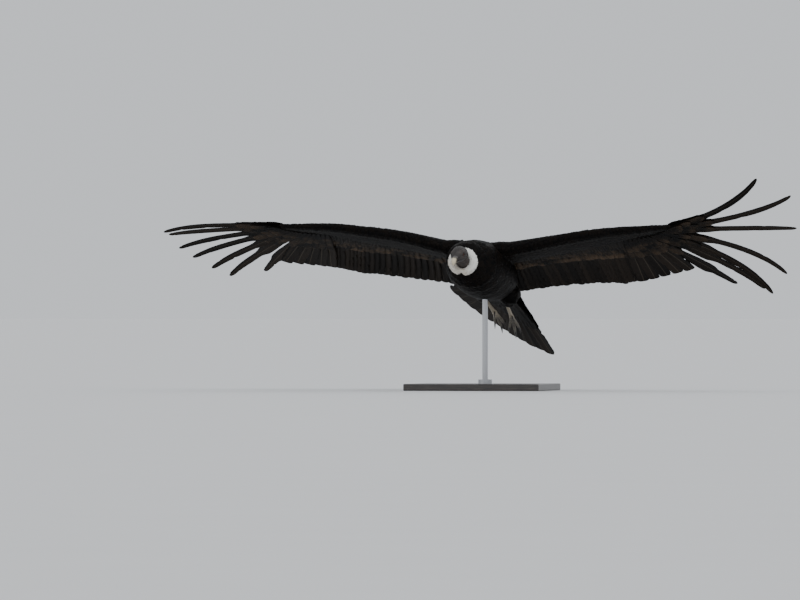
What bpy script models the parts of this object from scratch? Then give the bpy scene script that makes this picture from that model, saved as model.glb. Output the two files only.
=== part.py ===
# Andean condor, adult female, gliding with spread wings and fanned tail, at life size.
# A still model on a plain display stand: the bird faces -Y, its left side is +X, the floor is z = 0.

import math
import random

import bmesh
import bpy
from mathutils import Vector

GAP = 0.0003
DISSOLVE_ANGLE = math.radians(0.8)

# Display stand
BASE_WIDTH = 0.60
BASE_DEPTH = 0.46
BASE_HEIGHT = 0.03
BASE_EDGE = 0.004
ROD_RADIUS = 0.012
ROD_PLACE = Vector((0.02, -0.03, 0.0))
ROD_TOP = 0.405
COLLAR_RADIUS = 0.03
COLLAR_HEIGHT = 0.018

# Wings: leading and trailing edge at the root, elbow, mid forearm, wrist and end of the hand
LEADING = {
    -1: (
        (-0.132, -0.190, 0.633), (-0.314, -0.225, 0.679), (-0.486, -0.255, 0.703),
        (-0.615, -0.275, 0.716), (-0.840, -0.265, 0.719),
    ),
    1: (
        (0.153, -0.190, 0.626), (0.320, -0.225, 0.653), (0.500, -0.255, 0.683),
        (0.650, -0.275, 0.700), (0.880, -0.265, 0.715),
    ),
}
TRAILING = {
    -1: (
        (-0.100, 0.210, 0.463), (-0.365, 0.175, 0.498), (-0.554, 0.145, 0.519),
        (-0.6785, 0.115, 0.543), (-0.896, 0.070, 0.566),
    ),
    1: (
        (0.148, 0.210, 0.443), (0.343, 0.175, 0.4665), (0.524, 0.145, 0.476),
        (0.669, 0.115, 0.480), (0.9115, 0.070, 0.5326),
    ),
}
ARM_THICKNESS = (0.070, 0.058, 0.050, 0.043, 0.022)
ARM_DEPTH = (0.40, 0.38, 0.36, 0.31, 0.17)
WING_CAMBER = 0.045
ELBOW = 1.15
WRIST = 3.0
HAND_END = 4.0

# Free outer primaries, from the leading one inwards: tips, and where the blade narrows along its length
FINGER_TIPS = {
    -1: (
        (-1.362, -0.26, 0.689), (-1.362, -0.17, 0.679), (-1.336, -0.09, 0.620), (-1.297, 0.0, 0.580),
        (-1.233, 0.09, 0.533), (-1.167, 0.15, 0.500), (-1.012, 0.16, 0.521),
    ),
    1: (
        (1.276, -0.33, 0.9135), (1.412, -0.26, 0.841), (1.420, -0.16, 0.702), (1.352, -0.02, 0.5065),
        (1.271, 0.08, 0.421), (1.221, 0.16, 0.443), (1.087, 0.22, 0.465),
    ),
}
FINGER_NOTCH = (0.27, 0.26, 0.27, 0.30, 0.35, 0.43, 0.60)
FINGER_WIDTH = 0.037
PRIMARY_BEND = 0.74
PRIMARY_WIDTH = 0.056
INNER_PRIMARIES = 5
PRIMARIES = 12

# Feathers
RIM = 0.0006
SHAFT = 0.0016
VANE_WIDTH = 0.043
TILT = math.radians(4.5)
TIER_STEP = 0.006

# Tail
TAIL_BASE = Vector((0.05, 0.30, 0.428))
TAIL_AFT = Vector((-0.275, 0.8745, -0.3986)).normalized()
TAIL_LEFT = Vector((0.8465, 0.0214, -0.5312)).normalized()
TAIL_LENGTH = 0.40
TAIL_SPREAD = math.radians(35.5)
TAIL_ROOTS = 0.034
TAIL_FEATHERS = 12
TAIL_START = 0.045
TAIL_WIDTH = 0.068

# Body: length position, sideways and upward place of the middle, half width, half height
BODY = (
    (-0.330, -0.012, 0.559, 0.048, 0.048),
    (-0.305, -0.006, 0.558, 0.080, 0.077),
    (-0.265, 0.002, 0.552, 0.106, 0.099),
    (-0.205, 0.007, 0.544, 0.122, 0.113),
    (-0.140, 0.014, 0.533, 0.129, 0.120),
    (-0.070, 0.021, 0.519, 0.130, 0.122),
    (0.000, 0.026, 0.507, 0.125, 0.119),
    (0.070, 0.031, 0.493, 0.114, 0.108),
    (0.135, 0.037, 0.476, 0.098, 0.091),
    (0.195, 0.042, 0.459, 0.080, 0.070),
    (0.240, 0.046, 0.446, 0.066, 0.054),
)
BODY_SIDES = 28

# Neck and head
NECK_START = Vector((-0.012, -0.330, 0.559))
NECK_RADIUS = 0.031
NECK_SIDES = 20
BILL_EDGE = 0.55
RUFF_HOLE = 0.0350
RUFF_SIDES = 20
LOCK_RIM = 0.0018
LOCK_THICK = 0.0034
LOCK_TILT = 0.16
RUFF_TIERS = (
    (15, 0.045, 0.0225, 0.002, 0.0265),
    (13, 0.045, 0.0180, 0.013, 0.0245),
    (10, 0.0430, -0.0010, 0.019, 0.0225),
)
NECK_RISE = 12.0
HEAD = Vector((-0.007, -0.440, 0.585))
HEAD_FORWARD = Vector((-0.066, -0.948, -0.309)).normalized()
EYE_RADIUS = 0.0085
LID_RADIUS = 0.0105
EYE_PLACE = (0.011, 0.0222, 0.0080)

# Skull: length position, half width, height over and under its middle, and the middle's height
SKULL = (
    (-0.050, 0.0265, 0.0260, 0.0260, -0.004),
    (-0.040, 0.0305, 0.0310, 0.0290, -0.002),
    (-0.022, 0.0335, 0.0350, 0.0310, 0.0),
    (-0.004, 0.0330, 0.0355, 0.0300, 0.0),
    (0.012, 0.0295, 0.0330, 0.0270, 0.0),
    (0.026, 0.0230, 0.0265, 0.0235, -0.001),
    (0.038, 0.0172, 0.0200, 0.0178, -0.003),
    (0.048, 0.0146, 0.0176, 0.0146, -0.004),
)

# Feet: heel, foot joint and toe directions
FEET = {
    -1: (Vector((-0.020, 0.150, 0.398)), Vector((0.000, 0.255, 0.338))),
    1: (Vector((0.075, 0.150, 0.380)), Vector((0.076, 0.255, 0.318))),
}

THIGH_OUT = {-1: -0.004, 1: 0.024}
# Shoulder feathers of the body: place along the span, end along the chord, lift and width
SCAPULARS = (
    (-0.20, 1.0, 0.0, 0.042), (-0.35, 0.95, 0.0, 0.042), (-0.50, 0.88, 0.0, 0.042),
    (-0.26, 0.60, 0.016, 0.042), (-0.42, 0.62, 0.018, 0.042),
)

CLAW_CURVE = ((0.0, 0.0), (0.006, 0.0), (0.015, 0.005), (0.020, 0.016))
CLAW_TAPER = (0.66, 0.64, 0.44, 0.08)

FEATHER_BLACK = (0.018, 0.016, 0.016, 1)
RUFF_WHITE = (0.82, 0.80, 0.75, 1)
SKIN_GREY = (0.11, 0.10, 0.10, 1)
BILL_IVORY = (0.62, 0.56, 0.44, 1)
EYE_RED = (0.20, 0.03, 0.02, 1)
FOOT_GREY = (0.42, 0.38, 0.33, 1)
CLAW_DARK = (0.05, 0.045, 0.04, 1)
STAND_BLACK = (0.03, 0.03, 0.032, 1)
STEEL = (0.45, 0.46, 0.48, 1)

SIDE_NAME = {-1: "right", 1: "left"}


def clear_scene():
    for old in list(bpy.data.objects):
        bpy.data.objects.remove(old, do_unlink=True)


def new_collection(name):
    group = bpy.data.collections.new(name)
    bpy.context.scene.collection.children.link(group)
    return group


def material(name, colour, roughness, metallic=0.0):
    made = bpy.data.materials.get(name) or bpy.data.materials.new(name)
    made.use_nodes = True
    shader = made.node_tree.nodes["Principled BSDF"]
    shader.inputs["Base Color"].default_value = colour
    shader.inputs["Roughness"].default_value = roughness
    shader.inputs["Metallic"].default_value = metallic
    made.diffuse_color = colour
    return made


def mesh_object(name, points, faces, group):
    mesh = bpy.data.meshes.new(name)
    mesh.from_pydata([tuple(p) for p in points], [], faces)
    tidy = bmesh.new()
    tidy.from_mesh(mesh)
    bmesh.ops.recalc_face_normals(tidy, faces=tidy.faces)
    bmesh.ops.triangulate(tidy, faces=tidy.faces)
    tidy.to_mesh(mesh)
    tidy.free()
    ob = bpy.data.objects.new(name, mesh)
    group.objects.link(ob)
    return ob


def loft(name, rings, group):
    # A closed skin through rings of equally many points, capped at both ends
    count = len(rings[0])
    points = [p for ring in rings for p in ring]
    faces = [tuple(range(count)), tuple(range(len(points) - count, len(points)))]
    for row in range(len(rings) - 1):
        for k in range(count):
            a = row * count + k
            b = row * count + (k + 1) % count
            faces.append((a, b, b + count, a + count))
    return mesh_object(name, points, faces, group)


def primitive(name, shape, group, **sizes):
    mesh = bpy.data.meshes.new(name)
    work = bmesh.new()
    shape(work, **sizes)
    work.to_mesh(mesh)
    work.free()
    ob = bpy.data.objects.new(name, mesh)
    group.objects.link(ob)
    return ob


def ball(name, centre, radii, group, segments=20, rings=12):
    ob = primitive(name, bmesh.ops.create_uvsphere, group, u_segments=segments, v_segments=rings, radius=1)
    for vertex in ob.data.vertices:
        vertex.co = Vector(centre) + Vector([r * c for r, c in zip(radii, vertex.co)])
    return ob


def cylinder(name, bottom, height, radius, group, segments=32):
    ob = primitive(
        name, bmesh.ops.create_cone, group,
        cap_ends=True, segments=segments, radius1=radius, radius2=radius, depth=height,
    )
    for vertex in ob.data.vertices:
        vertex.co += Vector(bottom) + Vector((0, 0, height / 2))
    return ob


def tube(name, path, radii, group, sides=10, flat=1.0):
    # A closed tube along a path of points, with a radius at each
    rings = []
    for k, centre in enumerate(path):
        before = path[max(k - 1, 0)]
        after = path[min(k + 1, len(path) - 1)]
        along = (after - before).normalized()
        side = along.cross(Vector((0, 0, 1)))
        if side.length < 0.05:
            side = along.cross(Vector((1, 0, 0)))
        side.normalize()
        up = side.cross(along)
        ring = []
        for n in range(sides):
            turn = 2 * math.pi * n / sides
            ring.append(centre + radii[k] * (math.cos(turn) * side + flat * math.sin(turn) * up))
        rings.append(ring)
    return loft(name, rings, group)


def largest_surface(ob):
    # Keep the biggest closed surface of the mesh and drop the rest
    work = bmesh.new()
    work.from_mesh(ob.data)
    work.faces.ensure_lookup_table()
    unseen = set(work.faces)
    parts = []
    while unseen:
        start = unseen.pop()
        part = [start]
        queue = [start]
        while queue:
            for edge in queue.pop().edges:
                for face in edge.link_faces:
                    if face in unseen:
                        unseen.remove(face)
                        part.append(face)
                        queue.append(face)
        parts.append(part)
    parts.sort(key=lambda part: sum(face.calc_area() for face in part))
    for part in parts[:-1]:
        bmesh.ops.delete(work, geom=part, context="FACES")
    loose = [v for v in work.verts if not v.link_faces]
    bmesh.ops.delete(work, geom=loose, context="VERTS")
    work.to_mesh(ob.data)
    work.free()


def boolean(ob, pieces, operation, solver="EXACT"):
    # One Boolean with a collection of pieces, applied, after which the pieces are removed
    group = bpy.data.collections.new(ob.name + "_pieces")
    for piece in pieces:
        group.objects.link(piece)
    step = ob.modifiers.new(operation.lower(), "BOOLEAN")
    step.operation = operation
    step.operand_type = "COLLECTION"
    step.collection = group
    step.solver = solver
    result = bpy.data.meshes.new_from_object(ob.evaluated_get(bpy.context.evaluated_depsgraph_get()))
    ob.modifiers.remove(step)
    ob.data = result
    for piece in list(pieces):
        bpy.data.objects.remove(piece, do_unlink=True)
    bpy.data.collections.remove(group)
    work = bmesh.new()
    work.from_mesh(ob.data)
    bmesh.ops.remove_doubles(work, verts=work.verts, dist=0.000002)
    bmesh.ops.dissolve_limit(work, angle_limit=DISSOLVE_ANGLE, verts=work.verts, edges=work.edges)
    bmesh.ops.dissolve_degenerate(work, edges=work.edges, dist=0.000002)
    bmesh.ops.triangulate(work, faces=work.faces)
    work.to_mesh(ob.data)
    work.free()
    largest_surface(ob)
    return ob


def finish(ob, name, look):
    ob.name = name
    ob.data.name = name
    ob.data.materials.clear()
    ob.data.materials.append(look)
    return ob


def smooth(points, t):
    # Catmull-Rom curve through the points, which sit at whole values of t
    last = len(points) - 1
    k = min(max(int(math.floor(t)), 0), last - 1)
    f = t - k
    b, c = Vector(points[k]), Vector(points[k + 1])
    a = Vector(points[k - 1]) if k > 0 else 2 * b - c
    d = Vector(points[k + 2]) if k + 2 <= last else 2 * c - b
    square = 2 * a - 5 * b + 4 * c - d
    cube = 3 * b - a - 3 * c + d
    return 0.5 * (2 * b + (c - a) * f + square * f * f + cube * f ** 3)


def blend(values, t):
    last = len(values) - 1
    k = min(max(int(math.floor(t)), 0), last - 1)
    f = min(max(t - k, 0.0), 1.0)
    return values[k] * (1 - f) + values[k + 1] * f


def vane(name, spine, across, upward, widths, group, rim=RIM, shaft=SHAFT, tilt=TILT):
    # One feather: a thin blade with a raised shaft that ends in a point, alike on both faces
    top = []
    bottom = []
    rows = len(widths)
    for k in range(rows):
        side = across[k] * widths[k] / 2
        lift = upward[k] * widths[k] / 2 * math.tan(tilt)
        for place, thick in ((-1, rim), (0, shaft), (1, rim)):
            middle = spine[k] + place * (side + lift)
            top.append(middle + upward[k] * thick / 2)
            bottom.append(middle - upward[k] * thick / 2)
    points = top + bottom + [spine[rows]]
    low = len(top)
    tip = 2 * low
    faces = []
    for k in range(rows - 1):
        a = 3 * k
        for offset in (0, low):
            corner = a + offset
            faces += [(corner, corner + 1, corner + 4), (corner, corner + 4, corner + 3)]
            faces += [(corner + 1, corner + 2, corner + 4), (corner + 2, corner + 5, corner + 4)]
        for edge in (0, 2):
            faces.append((a + edge, a + 3 + edge, a + 3 + edge + low, a + edge + low))
    end = 3 * (rows - 1)
    for offset in (0, low):
        faces += [(end + offset, end + 1 + offset, tip), (end + 1 + offset, end + 2 + offset, tip)]
    faces += [(end, end + low, tip), (end + 2, end + 2 + low, tip)]
    faces += [(0, 1, 1 + low, low), (1, 2, 2 + low, 1 + low)]
    return mesh_object(name, points, faces, group)


class WingSurface:
    # The cambered surface that a wing's bones and feathers follow, t along the span and q along the chord

    def __init__(self, side):
        self.side = side
        self.lead = LEADING[side]
        self.trail = TRAILING[side]

    def frame(self, t):
        lead = smooth(self.lead, t)
        chord = smooth(self.trail, t) - lead
        outward = (smooth(self.lead, t + 0.01) - smooth(self.lead, t - 0.01)).normalized()
        up = self.side * outward.cross(chord.normalized())
        return lead, chord, outward, up.normalized()

    def place(self, t, q, lift=0.0):
        lead, chord, outward, up = self.frame(t)
        rise = 4 * WING_CAMBER * chord.length * q * (1 - q)
        return lead + chord * q + up * (rise + lift)

    def section(self, t, slide=0.0):
        # Outline of the fleshy front part of the wing at t
        lead, chord, outward, up = self.frame(t)
        deep = blend(ARM_DEPTH, t)
        thick = blend(ARM_THICKNESS, t)
        shape = ((0.0, 0.0), (0.05, 0.30), (0.22, 0.50), (0.6, 0.46), (1.0, 0.30))
        shape += ((1.0, -0.30), (0.6, -0.44), (0.22, -0.42), (0.05, -0.24))
        return [self.place(t, q * deep, h * thick) + outward * slide for q, h in shape]

    def feather(self, name, t, start, end, lifts, width, stations, group, jitter):
        # A feather that lies along the chord at t, from one chord fraction to another
        spine = []
        across = []
        upward = []
        widths = []
        here = self.place(t, 0.5)
        span = (self.place(t + 0.02, 0.5) - here).normalized()
        up = self.frame(t)[3]
        reach = end - start + jitter
        for f, w in stations:
            spine.append(self.place(t, start + reach * f, lifts[0] + (lifts[1] - lifts[0]) * f))
            across.append(span)
            upward.append(up)
            widths.append(width * w)
        spine.append(self.place(t, start + reach, lifts[1]))
        return vane(name, spine, across, upward, widths, group)

    def row(self, name, node_span, count, start, end, lifts, width, stations, group, draw):
        made = []
        low, high = node_span
        for k in range(count):
            t = low + (high - low) * (k + 0.5) / count
            jitter = draw.uniform(-0.012, 0.012)
            made.append(self.feather(f"{name}{k}", t, start, end(t), lifts, width, stations, group, jitter))
        return made


FLIGHT_STATIONS = ((0.0, 0.30), (0.55, 1.0), (0.962, 0.72))
COVERT_STATIONS = ((0.0, 0.36), (0.85, 1.0))


def wing_core(surface, node_span, group, name):
    low, high = node_span
    steps = 5
    rings = []
    for k in range(steps):
        t = low + (high - low) * k / (steps - 1)
        slide = GAP if k == 0 else 0.0
        rings.append(surface.section(t, slide))
    return loft(name, rings, group)


def covert_tiers(surface, node_span, counts, group, draw):
    greater, median = counts
    made = []
    for way in (1, -1):
        step = way * TIER_STEP
        reach = 0.66 if way > 0 else 0.60
        made += surface.row(
            "greater", node_span, greater if way > 0 else greater - 2, 0.26,
            lambda t: reach, (step, step * 0.9),
            VANE_WIDTH, COVERT_STATIONS, group, draw,
        )
        if way > 0:
            made += surface.row(
                "median", node_span, median, 0.22, lambda t: reach - 0.13, (2 * step, 1.75 * step),
                VANE_WIDTH * 1.1, COVERT_STATIONS, group, draw,
            )
    return made


def wing_part(side, part, node_span, counts, group, look):
    # Upper arm with its inner flight feathers, or forearm with the outer ones
    surface = WingSurface(side)
    draw = random.Random(f"{side}{part}")
    name = f"wing_{SIDE_NAME[side]}_{part}"
    core = wing_core(surface, node_span, group, name)
    flights = surface.row(
        "flight", node_span, counts[0], 0.27, lambda t: 1.035, (0.0, 0.0),
        VANE_WIDTH, FLIGHT_STATIONS, group, draw,
    )
    coverts = covert_tiers(surface, node_span, counts[1:], group, draw)
    boolean(core, flights + coverts, "UNION")
    return finish(core, name, look)


def primary_path(surface, index, tip):
    # Root, control point and tip of a primary: it leaves the hand in the wing's plane and bends to its tip
    side = surface.side
    share = (index + 0.5) / PRIMARIES
    t = WRIST + 0.04 + (HAND_END - WRIST - 0.04) * share ** 0.9
    q = 0.20 * (1 - 0.80 * share ** 3)
    root = surface.place(t, q)
    lead, chord, outward, up = surface.frame(HAND_END)
    middle = root.lerp(tip, PRIMARY_BEND)
    flat = lead.z - (up.x * (middle.x - lead.x) + up.y * (middle.y - lead.y)) / up.z
    control = Vector((middle.x, middle.y, flat + WING_CAMBER * 0.2))
    return root, control, tip


def primary(surface, index, portion, lift, profile, group, name, tip):
    root, control, tip = primary_path(surface, index, tip)
    up_hand = surface.frame(HAND_END)[3]
    spine = []
    across = []
    upward = []
    widths = []
    for f, w in profile + ((1.0, 0.0),):
        s = f * portion
        point = root * (1 - s) ** 2 + control * 2 * s * (1 - s) + tip * s * s
        along = ((control - root) * (1 - s) + (tip - control) * s).normalized()
        side = surface.side * along.cross(up_hand)
        side.normalize()
        normal = surface.side * side.cross(along)
        spine.append(point + normal * lift)
        if w:
            across.append(side)
            upward.append(normal.normalized())
            widths.append(w)
    return vane(name, spine, across, upward, widths, group)


def hand(side, group, look):
    # The hand with twelve primaries, seven of them free fingers, and their coverts above and below
    surface = WingSurface(side)
    name = f"wing_{SIDE_NAME[side]}_hand"
    draw = random.Random(name)
    core = wing_core(surface, (WRIST, HAND_END), group, name)
    pieces = []
    tips = [surface.place(WRIST + 0.12 + 0.22 * k, 1.03) for k in range(INNER_PRIMARIES)]
    tips += [Vector(tip) for tip in reversed(FINGER_TIPS[side])]
    for k in range(PRIMARIES):
        if k < INNER_PRIMARIES:
            profile = tuple((f, w * PRIMARY_WIDTH) for f, w in FLIGHT_STATIONS)
        else:
            notch = FINGER_NOTCH[PRIMARIES - 1 - k]
            broad = PRIMARY_WIDTH * (1.0 if k < PRIMARIES - 3 else 0.85)
            profile = ((0.0, 0.012), (0.10, 0.025), (notch - 0.05, broad))
            profile += ((notch + 0.05, FINGER_WIDTH), (0.92, FINGER_WIDTH * 0.68))
        pieces.append(primary(surface, k, 1.0, 0.0, profile, group, f"primary{k}", tips[k]))
        for way in (1, -1) if k % 2 == 0 or k < INNER_PRIMARIES else (1,):
            portion = (0.36 if k < INNER_PRIMARIES else 0.27) + draw.uniform(-0.01, 0.01)
            covert = ((0.0, 0.012), (0.82, 0.040))
            lift = way * TIER_STEP * 0.9
            pieces.append(primary(surface, k, portion, lift, covert, group, f"covert{k}", tips[k]))
    boolean(core, pieces, "UNION")
    return finish(core, name, look)


def tail_feather(name, angle, length, width, lift, group, stations, start=0.02, droop=0.0):
    shaft_way = (TAIL_LEFT * math.sin(angle) + TAIL_AFT * math.cos(angle)).normalized()
    normal = TAIL_LEFT.cross(TAIL_AFT).normalized()
    sign = 1 if angle >= 0 else -1
    side = sign * shaft_way.cross(normal)
    root = TAIL_BASE + TAIL_LEFT * TAIL_ROOTS * angle / TAIL_SPREAD
    spine = []
    across = []
    upward = []
    widths = []
    for f, w in stations + ((1.0, 0.0),):
        reach = start + (length - start) * f
        spine.append(root + shaft_way * reach + normal * (lift - droop * f * f))
        if w:
            across.append(side)
            upward.append(normal)
            widths.append(width * w)
    return vane(name, spine, across, upward, widths, group)


def tail_section(reach, half_width, half_height, sides=16):
    normal = TAIL_LEFT.cross(TAIL_AFT).normalized()
    ring = []
    for n in range(sides):
        turn = 2 * math.pi * n / sides
        ring.append(
            TAIL_BASE + TAIL_AFT * reach
            + TAIL_LEFT * half_width * math.cos(turn) + normal * half_height * math.sin(turn)
        )
    return ring


def tail(group, look):
    # Twelve tail feathers in a fan, the middle pair on top, with a tier of coverts above and below
    draw = random.Random(12)
    core = loft(
        "tail",
        [
            tail_section(-TAIL_START + GAP, 0.062, 0.040), tail_section(-0.01, 0.062, 0.029),
            tail_section(0.03, 0.059, 0.019), tail_section(0.07, 0.052, 0.0115),
        ],
        group,
    )
    pieces = []
    stations = ((0.0, 0.08), (0.13, 0.14), (0.52, 0.84), (0.93, 0.95))
    covert = ((0.0, 0.20), (0.82, 0.95))
    step = 2 * TAIL_SPREAD / (TAIL_FEATHERS - 1)
    for k in range(TAIL_FEATHERS):
        angle = -TAIL_SPREAD + step * k
        depth = abs(angle) / TAIL_SPREAD
        length = TAIL_LENGTH * (0.965 + 0.035 * depth) + draw.uniform(-0.004, 0.004)
        pieces.append(tail_feather(f"tail{k}", angle, length, TAIL_WIDTH, -0.004 * depth, group, stations))
    for way in (1, -1):
        for k in range(7):
            angle = TAIL_SPREAD * 0.84 * (k / 3 - 1)
            length = 0.175 + draw.uniform(-0.008, 0.008)
            lift = 0.008 if way > 0 else -0.008 - 0.004 * abs(k / 3 - 1)
            pieces.append(tail_feather(f"covert{k}", angle, length, 0.050, lift, group, covert))
    boolean(core, pieces, "UNION")
    return finish(core, "tail", look)


def body_ring(place, sides=BODY_SIDES):
    y, x, z, wide, high = place
    ring = []
    for n in range(sides):
        turn = 2 * math.pi * n / sides
        c, s = math.cos(turn), math.sin(turn)
        out = wide * math.copysign(abs(c) ** 0.9, c)
        up = high * math.copysign(abs(s) ** 0.9, s)
        ring.append(Vector((x + out, y, z + up)))
    return ring


def shoulder(side, group):
    # A stub of the wing's front part that runs from its root face into the body
    surface = WingSurface(side)
    outer = surface.section(0.0)
    rings = []
    for inward, drop in ((0.0, 0.0), (0.05, 0.006), (0.11, 0.030)):
        rings.append([p + Vector((-side * inward, 0, -drop)) for p in outer])
    return loft("shoulder", rings, group)


def scapulars(side, group):
    # Feathers from the shoulder back over the gap between the body and the wing's first flight feathers
    surface = WingSurface(side)
    draw = random.Random(40 + side)
    made = []
    for t, end, lift, width in SCAPULARS:
        lifts = (lift, lift * 0.8)
        skew = draw.uniform(-0.01, 0.01)
        made.append(surface.feather("scapular", t, 0.25, end, lifts, width, FLIGHT_STATIONS, group, skew))
    return made


def leg_path(side):
    heel, foot = FEET[side]
    return [heel.lerp(foot, f) for f in (0.0, 0.35, 0.75, 1.0)]


def torso(group, look):
    rings = [body_ring(place) for place in BODY]
    rings.append(tail_section(-TAIL_START, 0.062, 0.040, BODY_SIDES))
    body = loft("torso", rings, group)
    pieces = [shoulder(side, group) for side in (-1, 1)]
    for side in (-1, 1):
        pieces += scapulars(side, group)
    for side in (-1, 1):
        heel, foot = FEET[side]
        out = THIGH_OUT[side]
        path = [heel + Vector((out * 0.5, -0.150, 0.085)), heel + Vector((out, -0.085, 0.047))]
        path += [heel + Vector((out * 0.7, -0.035, 0.020)), heel + Vector((0, 0.012, 0.002))]
        pieces.append(tube("thigh", path, [0.020, 0.044, 0.036, 0.016], group, 14))
    boolean(body, pieces, "UNION")
    bottom = ROD_PLACE + Vector((0, 0, 0.30))
    cutters = [cylinder("socket", bottom, ROD_TOP + GAP - 0.30, ROD_RADIUS + GAP, group)]
    for side in (-1, 1):
        path = leg_path(side)
        along = (path[-1] - path[0]).normalized()
        cutters.append(tube("legsocket", [path[0] - along * GAP, path[-1]], [0.0084, 0.0084], group, 10))
    boolean(body, cutters, "DIFFERENCE")
    return finish(body, "torso", look)


def toe_points(start, along, spread, length, curl):
    # Points along a toe that hangs back and curls down
    side = along.cross(Vector((0, 0, 1))).normalized()
    way = (along * math.cos(spread) + side * math.sin(spread)).normalized()
    points = []
    for k in range(5):
        f = k / 4
        points.append(start + way * length * f + Vector((0, 0, -curl * f * f)))
    return points


def foot(side, group, look, claw_look):
    # Bare shank with three front toes and a hind toe, each with its claw as a separate piece
    heel, joint = FEET[side]
    name = f"foot_{SIDE_NAME[side]}"
    shank = tube(name, leg_path(side), [0.0080, 0.0072, 0.0075, 0.0105], group, 10)
    along = (joint - heel).normalized()
    toes = (
        (-0.34, 0.060, 0.014, 0.0062),
        (0.0, 0.082, 0.020, 0.0066),
        (0.34, 0.062, 0.014, 0.0062),
        (2.8, 0.026, 0.012, 0.0050),
    )
    pieces = [ball("joint", joint, (0.0125, 0.0135, 0.0110), group, 10, 6)]
    for k, (spread, length, curl, thick) in enumerate(toes):
        points = toe_points(joint, along, spread, length, curl)
        radii = [thick * 1.25, thick * 1.05, thick * 0.95, thick * 0.88, thick * 0.72]
        pieces.append(tube("toe", points, radii, group, 7))
        way = (points[-1] - points[-2]).normalized()
        start = points[-1] + way * GAP
        bend = Vector((0, 0, -1))
        claw = [start + way * ahead + bend * down for ahead, down in CLAW_CURVE]
        widths = [thick * part for part in CLAW_TAPER]
        made = tube(f"claw_{SIDE_NAME[side]}_{k + 1}", claw, widths, group, 7)
        finish(made, f"claw_{SIDE_NAME[side]}_{k + 1}", claw_look)
    boolean(shank, pieces, "UNION")
    return finish(shank, name, look)


def head_axes():
    forward = HEAD_FORWARD
    left = Vector((0, 0, 1)).cross(forward).normalized()
    left = -left if left.x < 0 else left
    up = forward.cross(left).normalized()
    up = -up if up.z < 0 else up
    return forward, left, up


def at_head(s, left_way, high):
    forward, left, up = head_axes()
    return HEAD + forward * s + left * left_way + up * high


def head_ring(s, wide, top, bottom, middle, sides=22):
    ring = []
    for n in range(sides):
        turn = 2 * math.pi * n / sides
        c, h = math.cos(turn), math.sin(turn)
        high = top * h if h > 0 else bottom * h
        ring.append(at_head(s, wide * c, middle + high))
    return ring


def on_skull(s, turn, lift=0.0):
    # A point of the skull's skin at length s, turned from its left side over the crown
    rows = SKULL
    k = 0
    while k < len(rows) - 2 and s > rows[k + 1][0]:
        k += 1
    f = (s - rows[k][0]) / (rows[k + 1][0] - rows[k][0])
    wide, top, bottom, middle = [a * (1 - f) + b * f for a, b in zip(rows[k][1:], rows[k + 1][1:])]
    c, h = math.cos(turn), math.sin(turn)
    high = (top if h > 0 else bottom) + lift
    return at_head(s, (wide + lift) * c, middle + high * h)


def skin_fold(name, side, start, end, radius, group, sag=0.0, sides=6):
    # A raised fold of skin that follows the skull from one place to another
    path = []
    radii = []
    for k in range(5):
        f = k / 4
        s = start[0] + (end[0] - start[0]) * f
        turn = start[1] + (end[1] - start[1]) * f + sag * math.sin(math.pi * f)
        path.append(on_skull(s, turn if side > 0 else math.pi - turn, -0.25 * radius))
        radii.append(radius * (0.30 + 0.70 * math.sin(math.pi * (0.12 + 0.76 * f))))
    return tube(name, path, radii, group, sides)


def head(group, look):
    # Skull with its bare skin: lids round each eye, cere with nostrils, the mouth's line, brow and neck folds
    skull = loft("head", [head_ring(*row) for row in SKULL], group)
    pieces = []
    for side in (-1, 1):
        s, out, high = EYE_PLACE
        pieces.append(ball("lids", at_head(s, side * out, high), [LID_RADIUS] * 3, group, 14, 8))
        pieces.append(skin_fold("brow", side, (-0.012, 0.80), (0.030, 0.62), 0.0042, group, 0.10))
        pieces.append(skin_fold("cheek", side, (-0.010, -0.42), (0.022, -0.18), 0.0032, group, -0.18))
        for k in range(3):
            turn = 0.05 - 0.36 * k
            reach = (-0.012 + 0.004 * k, turn + 0.10)
            pieces.append(skin_fold("fold", side, (-0.047, turn), reach, 0.0034, group, -0.06))
    for turn in (1.28, 1.86):
        front = (0.020, turn + 0.10 * (turn - 1.57))
        pieces.append(skin_fold("crown", 1, (-0.036, turn), front, 0.0030, group))
    throat_line = ((0.034, -0.0215), (0.016, -0.0275), (-0.012, -0.0315), (-0.044, -0.0285))
    throat = [at_head(s, 0, high) for s, high in throat_line]
    pieces.append(tube("throat", throat, [0.0030, 0.0050, 0.0060, 0.0040], group, 8))
    boolean(skull, pieces, "UNION")
    cutters = []
    for side in (-1, 1):
        s, out, high = EYE_PLACE
        cutters.append(ball("socket", at_head(s, side * out, high), [EYE_RADIUS + GAP] * 3, group, 14, 8))
        opening = at_head(s + 0.001, side * (out + 0.0095), high)
        nostril = at_head(0.041, side * 0.0168, 0.0050)
        ear = at_head(-0.022, side * 0.0350, -0.001)
        cutters.append(ball("opening", opening, (0.0062, 0.0085, 0.0052), group, 12, 6))
        cutters.append(ball("nostril", nostril, (0.0042, 0.0058, 0.0026), group, 8, 6))
        cutters.append(ball("ear", ear, (0.0045, 0.0040, 0.0040), group, 8, 6))
        mouth_line = ((0.054, 0.0158, -0.0064), (0.036, 0.0196, -0.0075), (0.016, 0.0285, -0.0105))
        mouth = [at_head(ahead, side * left, up) for ahead, left, up in mouth_line]
        cutters.append(tube("mouthline", mouth, [0.0013, 0.0015, 0.0008], group, 6))
    boolean(skull, cutters, "DIFFERENCE")
    return finish(skull, "head", look)


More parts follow.
